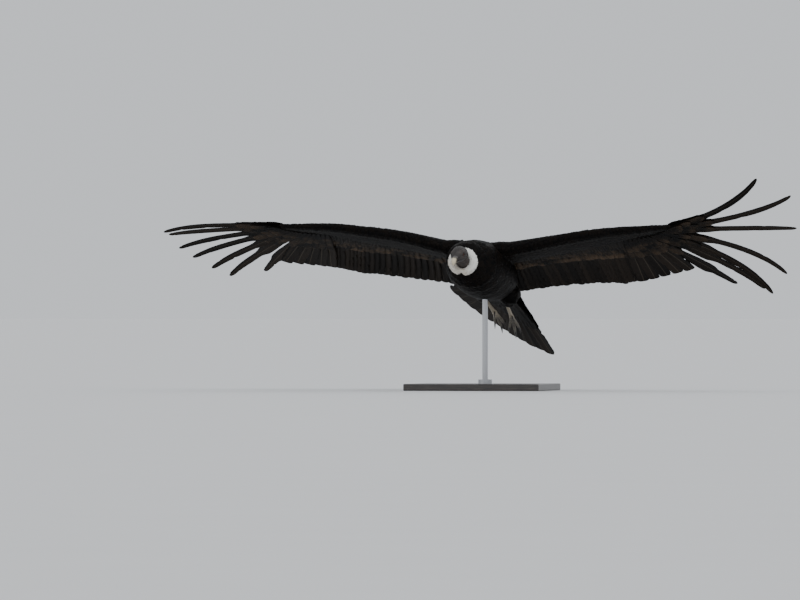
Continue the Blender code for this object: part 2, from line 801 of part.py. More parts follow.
def bill_ring(centre, wide, high, pitch, inner, sides=16):
    forward, left, up = head_axes()
    across = left
    rise = up * math.cos(pitch) + forward * math.sin(pitch)
    ring = []
    for n in range(sides):
        turn = 2 * math.pi * n / sides
        c, h = math.cos(turn), math.sin(turn)
        squared = BILL_EDGE if h * inner > 0 else 1.0
        wall = math.copysign(abs(c) ** squared, c)
        tall = math.copysign(abs(h) ** squared, h)
        ring.append(at_head(*centre) + across * wide * wall + rise * high * tall)
    return ring


def bill(group, look):
    # Hooked upper bill and the shorter lower bill under it, parted along the mouth's line
    upper = (
        ((0.0483, 0, 0.0036), 0.0138, 0.0098, 0.0), ((0.058, 0, 0.0038), 0.0126, 0.0094, 0.03),
        ((0.067, 0, 0.0028), 0.0112, 0.0090, 0.16), ((0.0755, 0, 0.0002), 0.0095, 0.0085, 0.50),
        ((0.0815, 0, -0.0058), 0.0072, 0.0070, 0.98), ((0.0835, 0, -0.0130), 0.0044, 0.0044, 1.38),
        ((0.0826, 0, -0.0192), 0.0012, 0.0012, 1.62),
    )
    lower = (
        ((0.0483, 0, -0.0118), 0.0124, 0.0052, 0.0), ((0.058, 0, -0.0110), 0.0112, 0.0047, 0.0),
        ((0.066, 0, -0.0108), 0.0094, 0.0040, 0.0), ((0.0728, 0, -0.0113), 0.0058, 0.0020, 0.0),
    )
    top = loft("bill_upper", [bill_ring(*row, -1) for row in upper], group)
    below = loft("bill_lower", [bill_ring(*row, 1) for row in lower], group)
    finish(top, "bill_upper", look)
    finish(below, "bill_lower", look)


def eyes(group, look):
    for side in (-1, 1):
        s, out, high = EYE_PLACE
        name = f"eye_{SIDE_NAME[side]}"
        finish(ball(name, at_head(s, side * out, high), [EYE_RADIUS] * 3, group, 14, 8), name, look)


def neck(group, look):
    # Short bare neck with ringed folds, through the ruff from the body to the back of the head
    start = NECK_START + Vector((0, -GAP, 0))
    end = at_head(-0.050, 0, -0.004) - HEAD_FORWARD * GAP
    path = (start, start + Vector((0, -0.036, 0)), end - HEAD_FORWARD * 0.014, end)
    rings = []
    steps = 9
    for k in range(steps):
        f = k / (steps - 1)
        weights = ((1 - f) ** 3, 3 * f * (1 - f) ** 2, 3 * f * f * (1 - f), f ** 3)
        centre = sum((p * w for p, w in zip(path, weights)), Vector())
        wide = NECK_RADIUS + (0.0265 - NECK_RADIUS) * f + 0.0016 * (k % 2)
        normal = Vector((0, -1, 0)).lerp(HEAD_FORWARD, f).normalized()
        up = (Vector((0, 0, 1)) - normal * normal.z).normalized()
        left = up.cross(normal) * -1
        ring = []
        for n in range(NECK_SIDES):
            turn = 2 * math.pi * n / NECK_SIDES
            ring.append(centre + left * wide * math.cos(turn) + up * wide * math.sin(turn))
        rings.append(ring)
    return finish(loft("neck", rings, group), "neck", look)


def ruff(group, look):
    # Collar of white down: a ring round the base of the neck with three tiers of broad curved locks
    draw = random.Random(7)
    hole = RUFF_HOLE
    centre = NECK_START + Vector((0, -2 * GAP, 0))
    profile = ((hole, 0.0), (0.052, 0.0), (0.054, -0.010), (0.047, -0.017), (hole, -0.017))
    points = []
    faces = []
    for n in range(RUFF_SIDES):
        turn = 2 * math.pi * n / RUFF_SIDES
        out = Vector((math.cos(turn), 0, math.sin(turn)))
        for radius, forward in profile:
            points.append(centre + out * radius + Vector((0, forward, 0)))
    count = len(profile)
    for n in range(RUFF_SIDES):
        for k in range(count):
            a = n * count + k
            b = n * count + (k + 1) % count
            c = ((n + 1) % RUFF_SIDES) * count + (k + 1) % count
            d = ((n + 1) % RUFF_SIDES) * count + k
            faces.append((a, b, c, d))
    core = mesh_object("ruff", points, faces, group)
    pieces = []
    for tier, (number, root, outward, forward, width) in enumerate(RUFF_TIERS):
        for k in range(number):
            turn = 2 * math.pi * (k + 0.5 * (tier % 2)) / number
            out = Vector((math.cos(turn), 0, math.sin(turn)))
            side = Vector((-math.sin(turn), 0, math.cos(turn)))
            scale = draw.uniform(0.93, 1.05)
            start = centre + out * root + Vector((0, -0.004 - 0.0045 * tier, 0))
            end = start + (out * outward + Vector((0, -forward, NECK_RISE * forward * forward))) * scale
            normal = side.cross(end - start).normalized()
            bulge = normal * (0.004 if normal.y < 0 else -0.004)
            spine = [start, start.lerp(end, 0.68) + bulge, end]
            widths = [width * 0.55, width]
            sides, normals = [side] * 2, [normal] * 2
            pieces.append(vane("lock", spine, sides, normals, widths, group, LOCK_RIM, LOCK_THICK, LOCK_TILT))
    boolean(core, pieces, "UNION")
    return finish(core, "ruff", look)


def stand(group, base_look, rod_look):
    base = primitive("stand_base", bmesh.ops.create_cube, group, size=1)
    for vertex in base.data.vertices:
        x, y, z = vertex.co
        vertex.co = Vector((x * BASE_WIDTH, y * BASE_DEPTH, (z + 0.5) * BASE_HEIGHT))
    edge = base.modifiers.new("edge", "BEVEL")
    edge.width = BASE_EDGE
    edge.segments = 2
    finish(base, "stand_base", base_look)
    bottom = ROD_PLACE + Vector((0, 0, BASE_HEIGHT + GAP))
    collar = cylinder("stand_collar", bottom, COLLAR_HEIGHT, COLLAR_RADIUS, group, 24)
    hole = cylinder("hole", bottom - Vector((0, 0, 0.01)), COLLAR_HEIGHT + 0.02, ROD_RADIUS + GAP, group, 32)
    boolean(collar, [hole], "DIFFERENCE")
    finish(collar, "stand_collar", rod_look)
    rod = cylinder("stand_rod", bottom, ROD_TOP - bottom.z, ROD_RADIUS, group, 32)
    finish(rod, "stand_rod", rod_look)


def main():
    clear_scene()
    group = new_collection("andean_condor")
    plumage = material("plumage", FEATHER_BLACK, 0.55)
    down = material("ruff", RUFF_WHITE, 0.9)
    skin = material("skin", SKIN_GREY, 0.6)
    horn = material("bill", BILL_IVORY, 0.35)
    iris = material("eye", EYE_RED, 0.1)
    scales = material("foot", FOOT_GREY, 0.6)
    claw = material("claw", CLAW_DARK, 0.35)
    lacquer = material("stand_base", STAND_BLACK, 0.4)
    steel = material("stand_rod", STEEL, 0.3, 1.0)

    torso(group, plumage)
    tail(group, plumage)
    for side in (-1, 1):
        wing_part(side, "arm", (0.0, ELBOW), (8, 6, 4), group, plumage)
        wing_part(side, "forearm", (ELBOW, WRIST), (10, 8, 7), group, plumage)
        hand(side, group, plumage)
        foot(side, group, scales, claw)
    head(group, skin)
    bill(group, horn)
    eyes(group, iris)
    neck(group, skin)
    ruff(group, down)
    stand(group, lacquer, steel)
    for ob in group.objects:
        ob.data.shade_smooth()
        ob.data.set_sharp_from_angle(angle=math.radians(35))


main()
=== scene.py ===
import math

import bmesh
import bpy
import numpy as np
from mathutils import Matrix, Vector


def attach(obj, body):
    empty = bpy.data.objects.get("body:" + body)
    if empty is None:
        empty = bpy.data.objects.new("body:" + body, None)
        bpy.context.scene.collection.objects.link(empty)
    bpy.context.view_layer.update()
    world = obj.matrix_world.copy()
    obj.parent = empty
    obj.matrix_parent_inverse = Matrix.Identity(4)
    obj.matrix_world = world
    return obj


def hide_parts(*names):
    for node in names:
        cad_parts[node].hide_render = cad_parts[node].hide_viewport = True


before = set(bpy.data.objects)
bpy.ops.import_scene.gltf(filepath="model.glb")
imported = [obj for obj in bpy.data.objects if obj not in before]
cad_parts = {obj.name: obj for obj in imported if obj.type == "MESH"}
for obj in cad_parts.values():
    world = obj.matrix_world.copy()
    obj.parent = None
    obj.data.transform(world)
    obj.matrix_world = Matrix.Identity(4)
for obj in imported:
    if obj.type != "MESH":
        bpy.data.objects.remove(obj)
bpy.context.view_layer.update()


# Small helpers for arrays, meshes and objects

def unit(v):
    v = np.asarray(v, float)
    return v / np.maximum(np.linalg.norm(v, axis=-1, keepdims=True), 1e-12)


def smoothStep(low, high, x):
    f = np.clip((np.asarray(x, float) - low) / (high - low), 0, 1)
    return f * f * (3 - 2 * f)


def curveAt(points, t):
    # Catmull-Rom curve through points that sit at whole values of t
    points = np.asarray(points, float)
    t = np.atleast_1d(np.asarray(t, float))
    last = len(points) - 1
    k = np.clip(np.floor(t).astype(int), 0, last - 1)
    f = (t - k)[:, None]
    b, c = points[k], points[k + 1]
    a = np.where((k > 0)[:, None], points[np.maximum(k - 1, 0)], 2 * b - c)
    d = np.where((k + 2 <= last)[:, None], points[np.minimum(k + 2, last)], 2 * c - b)
    bend = (2 * a - 5 * b + 4 * c - d) * f ** 2
    return 0.5 * (2 * b + (c - a) * f + bend + (3 * b - a - 3 * c + d) * f ** 3)


def blendAt(values, t):
    return np.interp(t, range(len(values)), values)


def fullTurn(count):
    return np.linspace(0, 2 * np.pi, count, endpoint=False)


def linked(name, data):
    ob = bpy.data.objects.new(name, data)
    bpy.context.scene.collection.objects.link(ob)
    return ob


def fromWork(name, work):
    # The plain mesh of a bmesh that is done with
    mesh = bpy.data.meshes.new(name)
    work.to_mesh(mesh)
    work.free()
    return mesh


def fetch(source, key, width=1, kind=np.float32):
    values = np.zeros(len(source) * width, kind)
    source.foreach_get(key, values)
    return values


def numbers(values):
    return np.ascontiguousarray(values, dtype=np.float32).ravel()


def pointsOf(ob):
    return fetch(ob.data.vertices, "co", 3).reshape(-1, 3).astype(float)


def movePoints(ob, points):
    ob.data.vertices.foreach_set("co", numbers(points))


def putValues(ob, name, values, kind="FLOAT", domain="POINT"):
    layer = ob.data.attributes.new(name, kind, domain)
    layer.data.foreach_set("value" if kind == "FLOAT" else "vector", numbers(values))


def storeBakeMap(ob, pointPlaces):
    layer = ob.data.uv_layers.new(name="OFBake")
    corner = fetch(ob.data.loops, "vertex_index", 1, np.int32)
    layer.data.foreach_set("uv", numbers(np.asarray(pointPlaces, np.float32)[corner]))


def makeSmooth(mesh):
    mesh.polygons.foreach_set("use_smooth", np.full(len(mesh.polygons), True))


def faceOutwards(mesh, near=0.0):
    # Turns all faces outwards, with points that lie nearly in one place merged first
    work = bmesh.new()
    work.from_mesh(mesh)
    if near:
        bmesh.ops.remove_doubles(work, verts=work.verts, dist=near)
    bmesh.ops.recalc_face_normals(work, faces=work.faces)
    work.to_mesh(mesh)
    work.free()
    makeSmooth(mesh)


def shellFaces(rows, columns, turned=False):
    # Faces of a thin closed sheet on a grid: top, bottom and the rim between them
    total = rows * columns
    index = np.arange(total).reshape(rows, columns)
    face = np.stack([index[:-1, :-1], index[:-1, 1:], index[1:, 1:], index[1:, :-1]], -1).reshape(-1, 4)
    ring = np.concatenate([index[0, :-1], index[:-1, -1], index[-1, :0:-1], index[:0:-1, 0]])
    after = np.roll(ring, -1)
    rim = np.stack([ring + total, after + total, after, ring], -1)
    quads = np.concatenate([face, face[:, ::-1] + total, rim])
    return quads[:, ::-1] if turned else quads


def ringFaces(rows, columns):
    # Faces of a grid that closes on itself both ways
    index = np.arange(rows * columns).reshape(rows, columns)
    down, right = np.roll(index, -1, 0), np.roll(index, -1, 1)
    return np.stack([index, right, np.roll(down, -1, 1), down], -1).reshape(-1, 4).tolist()


def meshObject(name, points, quads):
    # A mesh from arrays: points (n, 3) and faces of four corners
    mesh = bpy.data.meshes.new(name)
    points = np.asarray(points, np.float32)
    quads = np.asarray(quads, np.int32)
    mesh.vertices.add(len(points))
    mesh.vertices.foreach_set("co", points.ravel())
    mesh.loops.add(quads.size)
    mesh.loops.foreach_set("vertex_index", quads.ravel())
    mesh.polygons.add(len(quads))
    mesh.polygons.foreach_set("loop_start", np.arange(0, quads.size, quads.shape[1], dtype=np.int32))
    mesh.update(calc_edges=True)
    mesh.validate()
    makeSmooth(mesh)
    return linked(name, mesh)


def meshFrom(name, points, faces):
    # A mesh from lists with faces of mixed size, its faces turned outwards
    mesh = bpy.data.meshes.new(name)
    mesh.from_pydata([tuple(p) for p in points], [], faces)
    faceOutwards(mesh, 0.00001)
    return linked(name, mesh)


def loftRings(name, rings):
    count = len(rings[0])
    points = [tuple(p) for ring in rings for p in ring]
    faces = [tuple(range(count)), tuple(range(len(points) - count, len(points)))]
    for row in range(len(rings) - 1):
        for k in range(count):
            a, b = row * count + k, row * count + (k + 1) % count
            faces.append((a, b, b + count, a + count))
    return meshFrom(name, points, faces)


def tube(name, path, radii, sides=12, flat=1.0):
    path = np.asarray(path, float)
    rings = []
    for k in range(len(path)):
        along = unit(path[min(k + 1, len(path) - 1)] - path[max(k - 1, 0)])
        side = np.cross(along, (0, 0, 1))
        if np.linalg.norm(side) < 0.05:
            side = np.cross(along, (1, 0, 0))
        side = unit(side)
        up = np.cross(side, along)
        turn = fullTurn(sides)[:, None]
        rings.append(path[k] + radii[k] * (np.cos(turn) * side + flat * np.sin(turn) * up))
    return loftRings(name, rings)


def join(name, obs):
    # Several mesh objects as one
    work = bmesh.new()
    for ob in obs:
        work.from_mesh(ob.data)
    mesh = fromWork(name, work)
    for ob in obs:
        bpy.data.objects.remove(ob, do_unlink=True)
    return linked(name, mesh)


def plain(ob, name):
    # The evaluated mesh as an object's own, with its modifiers gone
    graph = bpy.context.evaluated_depsgraph_get()
    mesh = bpy.data.meshes.new_from_object(ob.evaluated_get(graph))
    ob.modifiers.clear()
    mesh.name = name
    ob.data = mesh
    ob.name = name
    return ob


# Shader and geometry trees

class Sock:
    # Wraps a node's output so that sums are written as plain expressions

    def __init__(self, tree, out):
        self.tree = tree
        self.out = out

    def maths(self, operation, *others):
        return self.tree.node("ShaderNodeMath", {"operation": operation}, dict(enumerate((self,) + others)))

    def __add__(self, other):
        return self.maths("ADD", other)

    __radd__ = __add__

    def __sub__(self, other):
        return self.maths("SUBTRACT", other)

    def __rsub__(self, other):
        return self.tree.node("ShaderNodeMath", {"operation": "SUBTRACT"}, {0: other, 1: self})

    def __mul__(self, other):
        return self.maths("MULTIPLY", other)

    __rmul__ = __mul__

    def sine(self):
        return self.maths("SINE")

    def absolute(self):
        return self.maths("ABSOLUTE")

    def ramp(self, low, high):
        # Runs smoothly from 0 to 1 as the value goes from low to high
        smooth = {"interpolation_type": "SMOOTHSTEP"}
        return self.tree.node("ShaderNodeMapRange", smooth, {0: self, 1: low, 2: high})


class Tree:
    # A node tree with one method that adds any node

    def __init__(self, nodeTree):
        self.nodeTree = nodeTree

    def node(self, kind, settings=None, links=None, out=0):
        made = self.nodeTree.nodes.new(kind)
        for key, value in (settings or {}).items():
            setattr(made, key, value)
        for key, value in (links or {}).items():
            socket = made.inputs[key]
            if isinstance(value, Sock):
                self.nodeTree.links.new(value.out, socket)
            else:
                socket.default_value = value
        return Sock(self, made.outputs[out])

    def mix(self, first, second, share):
        first, second = (colours[c] if isinstance(c, str) else c for c in (first, second))
        return self.node("ShaderNodeMix", {"data_type": "RGBA"}, {0: share, 6: first, 7: second}, 2)

    def attribute(self, name):
        return self.node("ShaderNodeAttribute", {"attribute_name": name}, out="Fac")

    def place(self):
        return self.node("ShaderNodeTexCoord", out="Object")

    def noise(self, where, scale, detail=3.0, rough=0.55):
        links = {"Vector": where, "Scale": scale, "Detail": detail, "Roughness": rough}
        return self.node("ShaderNodeTexNoise", {}, links)

    def parts(self, vector):
        made = self.nodeTree.nodes.new("ShaderNodeSeparateXYZ")
        self.nodeTree.links.new(vector.out, made.inputs[0])
        return [Sock(self, socket) for socket in made.outputs]


def newMaterial(name, **fixed):
    # A Principled material with its fixed values; returns it with its tree and shader
    made = bpy.data.materials.new(name)
    made.use_nodes = True
    shader = made.node_tree.nodes["Principled BSDF"]
    for key, value in fixed.items():
        shader.inputs[key.replace("_", " ")].default_value = value
    return made, Tree(made.node_tree), shader


def feed(tree, shader, colour, roughness=None, height=None, strength=0.3, distance=0.001):
    tree.nodeTree.links.new(colour.out, shader.inputs["Base Color"])
    if roughness is not None:
        tree.nodeTree.links.new(roughness.out, shader.inputs["Roughness"])
    if height is not None:
        bump = tree.node("ShaderNodeBump", {}, {"Strength": strength, "Distance": distance, "Height": height})
        tree.nodeTree.links.new(bump.out, shader.inputs["Normal"])


# Colours and finishes

colours = {
    "black": (0.0022, 0.0020, 0.0021, 1), "blackWarm": (0.0062, 0.0044, 0.0034, 1),
    "flightUnder": (0.0175, 0.0126, 0.0092, 1), "flightUnderDark": (0.0058, 0.0044, 0.0036, 1),
    "fringe": (0.115, 0.076, 0.046, 1), "silver": (0.46, 0.45, 0.43, 1), "shaft": (0.11, 0.090, 0.068, 1),
    "ruffWhite": (0.86, 0.85, 0.81, 1), "ruffShade": (0.62, 0.54, 0.43, 1),
    "skinPaleHighlight": (0.105, 0.094, 0.086, 1), "skin": (0.030, 0.025, 0.0235, 1),
    "skinDark": (0.009, 0.008, 0.008, 1), "skinPink": (0.085, 0.062, 0.053, 1),
    "ivory": (0.60, 0.52, 0.37, 1), "billDark": (0.045, 0.038, 0.033, 1),
    "iris": (0.22, 0.045, 0.018, 1), "irisDark": (0.06, 0.014, 0.008, 1),
    "pupil": (0.002, 0.002, 0.002, 1), "eyeRim": (0.012, 0.009, 0.008, 1),
    "foot": (0.37, 0.315, 0.235, 1), "footDark": (0.10, 0.088, 0.072, 1),
    "claw": (0.030, 0.026, 0.024, 1), "clawPale": (0.09, 0.08, 0.07, 1),
    "lacquerDark": (0.020, 0.018, 0.017, 1), "lacquer": (0.052, 0.042, 0.036, 1),
    "steelDark": (0.40, 0.41, 0.42, 1), "steel": (0.58, 0.58, 0.60, 1),
    "floorDark": (0.70, 0.705, 0.71, 1), "floor": (0.725, 0.73, 0.735, 1),
}


def vaneMaterial():
    # Flight feathers and coverts: black above, grey-brown below, with pale webs on the wing's back
    made, tree, shader = newMaterial("vaneFeather", Roughness=0.5, IOR=1.15)
    along, across, under = (tree.attribute(n) for n in ("along", "across", "under"))
    tone, pale, rusty = (tree.attribute(n) for n in ("tone", "pale", "rusty"))
    grain = tree.noise(tree.place(), 190.0, 3.0)
    cloud = tree.noise(tree.place(), 16.0, 2.0)
    top = tree.mix("black", "blackWarm", (tone * 0.6 + cloud * 0.5).ramp(0.25, 0.85))
    low = tree.mix("flightUnderDark", "flightUnder", (tone * 0.7 + cloud * 0.4).ramp(0.20, 0.80))
    low = tree.mix(low, "black", (across + grain * 0.3).ramp(0.1, 0.95) * 0.75)
    body = tree.mix(top, low, under * tree.attribute("flight"))
    web = (across + grain * 0.1).ramp(-0.42, -0.22)
    whiteWeb = pale * (1 - under) * web * (along + grain * 0.16).ramp(1.05, 0.93)
    body = tree.mix(body, "silver", whiteWeb * 0.92)
    rust = rusty * (along + grain * 1.0).ramp(0.90, 1.60) * (tone * 0.35 + cloud * 1.3).ramp(0.60, 1.05)
    body = tree.mix(body, "fringe", rust * 0.75)
    shaft = across.absolute().ramp(0.055, 0.02) * tree.attribute("flight")
    body = tree.mix(body, "shaft", shaft * (0.18 + 0.35 * under))
    barbs = ((along * 620.0 + across.absolute() * -60.0).sine() * 0.5 + 0.5) * 0.6 + grain * 0.7
    feed(tree, shader, body, 0.42 + 0.22 * grain, barbs, 0.22, 0.0006)
    return made


def coatMaterial():
    made, tree, shader = newMaterial("bodyCoat", IOR=1.15)
    tone = tree.attribute("tone")
    grain = tree.noise(tree.place(), 260.0, 3.0)
    cloud = tree.noise(tree.place(), 14.0, 3.0)
    body = tree.mix("black", "blackWarm", (tone * 0.55 + cloud * 0.6).ramp(0.30, 0.90))
    feed(tree, shader, body, 0.46 + 0.2 * grain, grain, 0.25, 0.0008)
    return made


def ruffMaterial():
    made, tree, shader = newMaterial("ruffDown", Roughness=0.85, Sheen_Weight=0.35)
    x, _, z = tree.parts(tree.place())
    grain = tree.noise(tree.place(), 300.0, 4.0)
    # painted shade: the down turns to the beige shade colour towards the bottom and the bird's right (-x),
    # where the ruff lies in shade
    paintedShade = (z * -9.0 + x * -6.0 + 4.72 + grain * 0.35).ramp(-0.15, 0.35)
    body = tree.mix("ruffWhite", "ruffShade", paintedShade * (0.35 + 0.5 * tree.attribute("tone")))
    feed(tree, shader, body, None, grain, 0.3, 0.001)
    return made


finishes = {}


def stretched(tree, scale, *noise):
    # Noise drawn out along one way, for grain and brush marks
    wide = tree.node("ShaderNodeMapping", {}, {"Vector": tree.place(), "Scale": scale})
    return tree.noise(wide, *noise)


def makeFinishes():
    finishes["vane"] = vaneMaterial()
    finishes["coat"] = coatMaterial()
    finishes["ruff"] = ruffMaterial()

    made, tree, shader = newMaterial("underSkin", Roughness=0.8, IOR=1.15)
    cloud = tree.noise(tree.place(), 30.0, 3.0)
    feed(tree, shader, tree.mix("black", "blackWarm", cloud.ramp(0.3, 0.7)), None, cloud, 0.2)
    finishes["underSkin"] = made

    made, tree, shader = newMaterial("bareSkin", Specular_IOR_Level=0.4)
    where = tree.place()
    cloud = tree.noise(where, 48.0, 4.0, 0.6)
    pore = tree.noise(where, 900.0, 3.0, 0.6)
    creaseShade = tree.attribute("creaseShade")
    warmth = tree.attribute("warmth")
    # painted shade: the skin is painted darker in its recessed folds, round the eye's hollow and on the lid
    # rims, besides random dark mottles from the noise
    body = tree.mix("skin", "skinDark", (cloud * 0.9 + creaseShade * 0.8).ramp(0.45, 1.05))
    body = tree.mix(body, "skinPink", warmth * cloud.ramp(0.35, 0.65) * 0.8)
    # pale mottles that are partly painted highlight: the pale colour is kept off the creases and lies on the
    # raised folds
    body = tree.mix(body, "skinPaleHighlight", (cloud + pore * 0.25 - creaseShade * 0.5).ramp(0.66, 0.90) * 0.6)
    feed(tree, shader, body, 0.46 + 0.22 * pore, pore * 0.5 + cloud * 0.4, 0.32, 0.0008)
    finishes["bareSkin"] = made

    made, tree, shader = newMaterial("bill")
    reach = tree.attribute("reach")
    cloud = tree.noise(tree.place(), 70.0, 3.0)
    streak = tree.noise(tree.place(), 420.0, 2.0)
    body = tree.mix("billDark", "ivory", (reach + cloud * 0.35).ramp(0.62, 0.98))
    feed(tree, shader, body, 0.26 + 0.16 * streak, streak, 0.12, 0.0005)
    finishes["bill"] = made

    made, tree, shader = newMaterial(
        "eye", Roughness=0.06, Coat_Weight=0.12, Coat_Roughness=0.02, Specular_IOR_Level=0.18,
    )
    away = tree.attribute("away")
    ring = tree.noise(tree.place(), 900.0, 3.0)
    body = tree.mix("iris", "irisDark", (away * 0.6 + ring * 0.7).ramp(0.45, 0.95))
    body = tree.mix("pupil", body, away.ramp(0.36, 0.40))
    body = tree.mix(body, "eyeRim", away.ramp(0.78, 0.86))
    feed(tree, shader, body)
    finishes["eye"] = made

    made, tree, shader = newMaterial("footScales")
    cloud = tree.noise(tree.place(), 60.0, 3.0)
    plate = tree.attribute("plate")
    _, _, z = tree.parts(tree.place())
    far = (z * -1.0).ramp(-0.345, -0.300)
    body = tree.mix("foot", "footDark", (plate * 0.5 + cloud * 0.5 + far * 0.55).ramp(0.45, 1.1))
    feed(tree, shader, body, 0.45 + 0.2 * cloud, cloud, 0.3, 0.001)
    finishes["foot"] = made

    made, tree, shader = newMaterial("claw")
    streak = tree.noise(tree.place(), 300.0, 3.0)
    feed(tree, shader, tree.mix("claw", "clawPale", streak.ramp(0.5, 0.8)), 0.22 + 0.2 * streak, streak, 0.15)
    finishes["claw"] = made

    made, tree, shader = newMaterial("standLacquer", Coat_Weight=0.35)
    grain = stretched(tree, (2.0, 26.0, 26.0), 9.0, 5.0, 0.6)
    body = tree.mix("lacquerDark", "lacquer", grain.ramp(0.35, 0.70))
    feed(tree, shader, body, 0.30 + 0.22 * grain, grain, 0.10, 0.0008)
    finishes["stand"] = made

    made, tree, shader = newMaterial("brushedSteel", Metallic=1.0)
    brush = stretched(tree, (30.0, 30.0, 900.0), 3.0, 3.0)
    feed(tree, shader, tree.mix("steelDark", "steel", brush), 0.24 + 0.2 * brush, brush, 0.08, 0.0004)
    finishes["steel"] = made

    made, tree, shader = newMaterial("paleFloor", Roughness=0.75)
    speck = tree.noise(tree.place(), 3.0, 2.0)
    feed(tree, shader, tree.mix("floorDark", "floor", speck))
    finishes["floor"] = made


# The wing's surface, with the sizes of the part's source

wing = {
    "leading": {
        -1: ((-0.132, -0.190, 0.633), (-0.314, -0.225, 0.679), (-0.486, -0.255, 0.703),
             (-0.615, -0.275, 0.716), (-0.840, -0.265, 0.719)),
        1: ((0.153, -0.190, 0.626), (0.320, -0.225, 0.653), (0.500, -0.255, 0.683),
            (0.650, -0.275, 0.700), (0.880, -0.265, 0.715)),
    },
    "trailing": {
        -1: ((-0.100, 0.210, 0.463), (-0.365, 0.175, 0.498), (-0.554, 0.145, 0.519),
             (-0.6785, 0.115, 0.543), (-0.896, 0.070, 0.566)),
        1: ((0.148, 0.210, 0.443), (0.343, 0.175, 0.4665), (0.524, 0.145, 0.476),
            (0.669, 0.115, 0.480), (0.9115, 0.070, 0.5326)),
    },
    "thickness": (0.070, 0.058, 0.050, 0.043, 0.022), "depth": (0.40, 0.38, 0.36, 0.31, 0.17),
    "camber": 0.045, "elbow": 1.15, "wrist": 3.0, "handEnd": 4.0, "coatDepth": 0.004,
    "section": ((0.0, 0.0), (0.015, 0.17), (0.05, 0.30), (0.12, 0.42), (0.22, 0.50), (0.40, 0.50),
                (0.6, 0.46), (0.8, 0.39), (1.0, 0.24), (1.04, 0.0), (1.0, -0.24), (0.8, -0.38),
                (0.6, -0.44), (0.40, -0.45), (0.22, -0.42), (0.12, -0.35), (0.05, -0.24), (0.015, -0.14)),
}
fingers = {
    "tips": {
        -1: ((-1.362, -0.26, 0.689), (-1.362, -0.17, 0.679), (-1.336, -0.09, 0.620), (-1.297, 0.0, 0.580),
             (-1.233, 0.09, 0.533), (-1.167, 0.15, 0.500), (-1.012, 0.16, 0.521)),
        1: ((1.276, -0.33, 0.9135), (1.412, -0.26, 0.841), (1.420, -0.16, 0.702), (1.352, -0.02, 0.5065),
            (1.271, 0.08, 0.421), (1.221, 0.16, 0.443), (1.087, 0.22, 0.465)),
    },
    "notch": (0.27, 0.26, 0.27, 0.30, 0.35, 0.43, 0.60),
    "narrow": 0.036, "broad": 0.060, "bend": 0.74, "inner": 5, "count": 12, "innerTips": (0.12, 0.22),
}


class WingSurface:
    # The cambered surface that a wing's bones and feathers follow, t along the span and q along the chord

    def __init__(self, side):
        self.side = side
        self.lead = wing["leading"][side]
        self.trail = wing["trailing"][side]

    def frameAt(self, t):
        t = np.atleast_1d(np.asarray(t, float))
        lead = curveAt(self.lead, t)
        chord = curveAt(self.trail, t) - lead
        outward = unit(curveAt(self.lead, t + 0.01) - curveAt(self.lead, t - 0.01))
        up = unit(self.side * np.cross(outward, unit(chord)))
        return lead, chord, outward, up

    def placeAt(self, t, q, lift=0.0):
        t = np.atleast_1d(np.asarray(t, float))
        q = np.broadcast_to(np.asarray(q, float), t.shape)
        lift = np.broadcast_to(np.asarray(lift, float), t.shape)
        lead, chord, _, up = self.frameAt(t)
        size = np.linalg.norm(chord, axis=1)
        rise = 4 * wing["camber"] * size * q * (1 - q)
        return lead + chord * q[:, None] + up * (rise + lift)[:, None]


# Feathers with a blade of two webs and a shaft

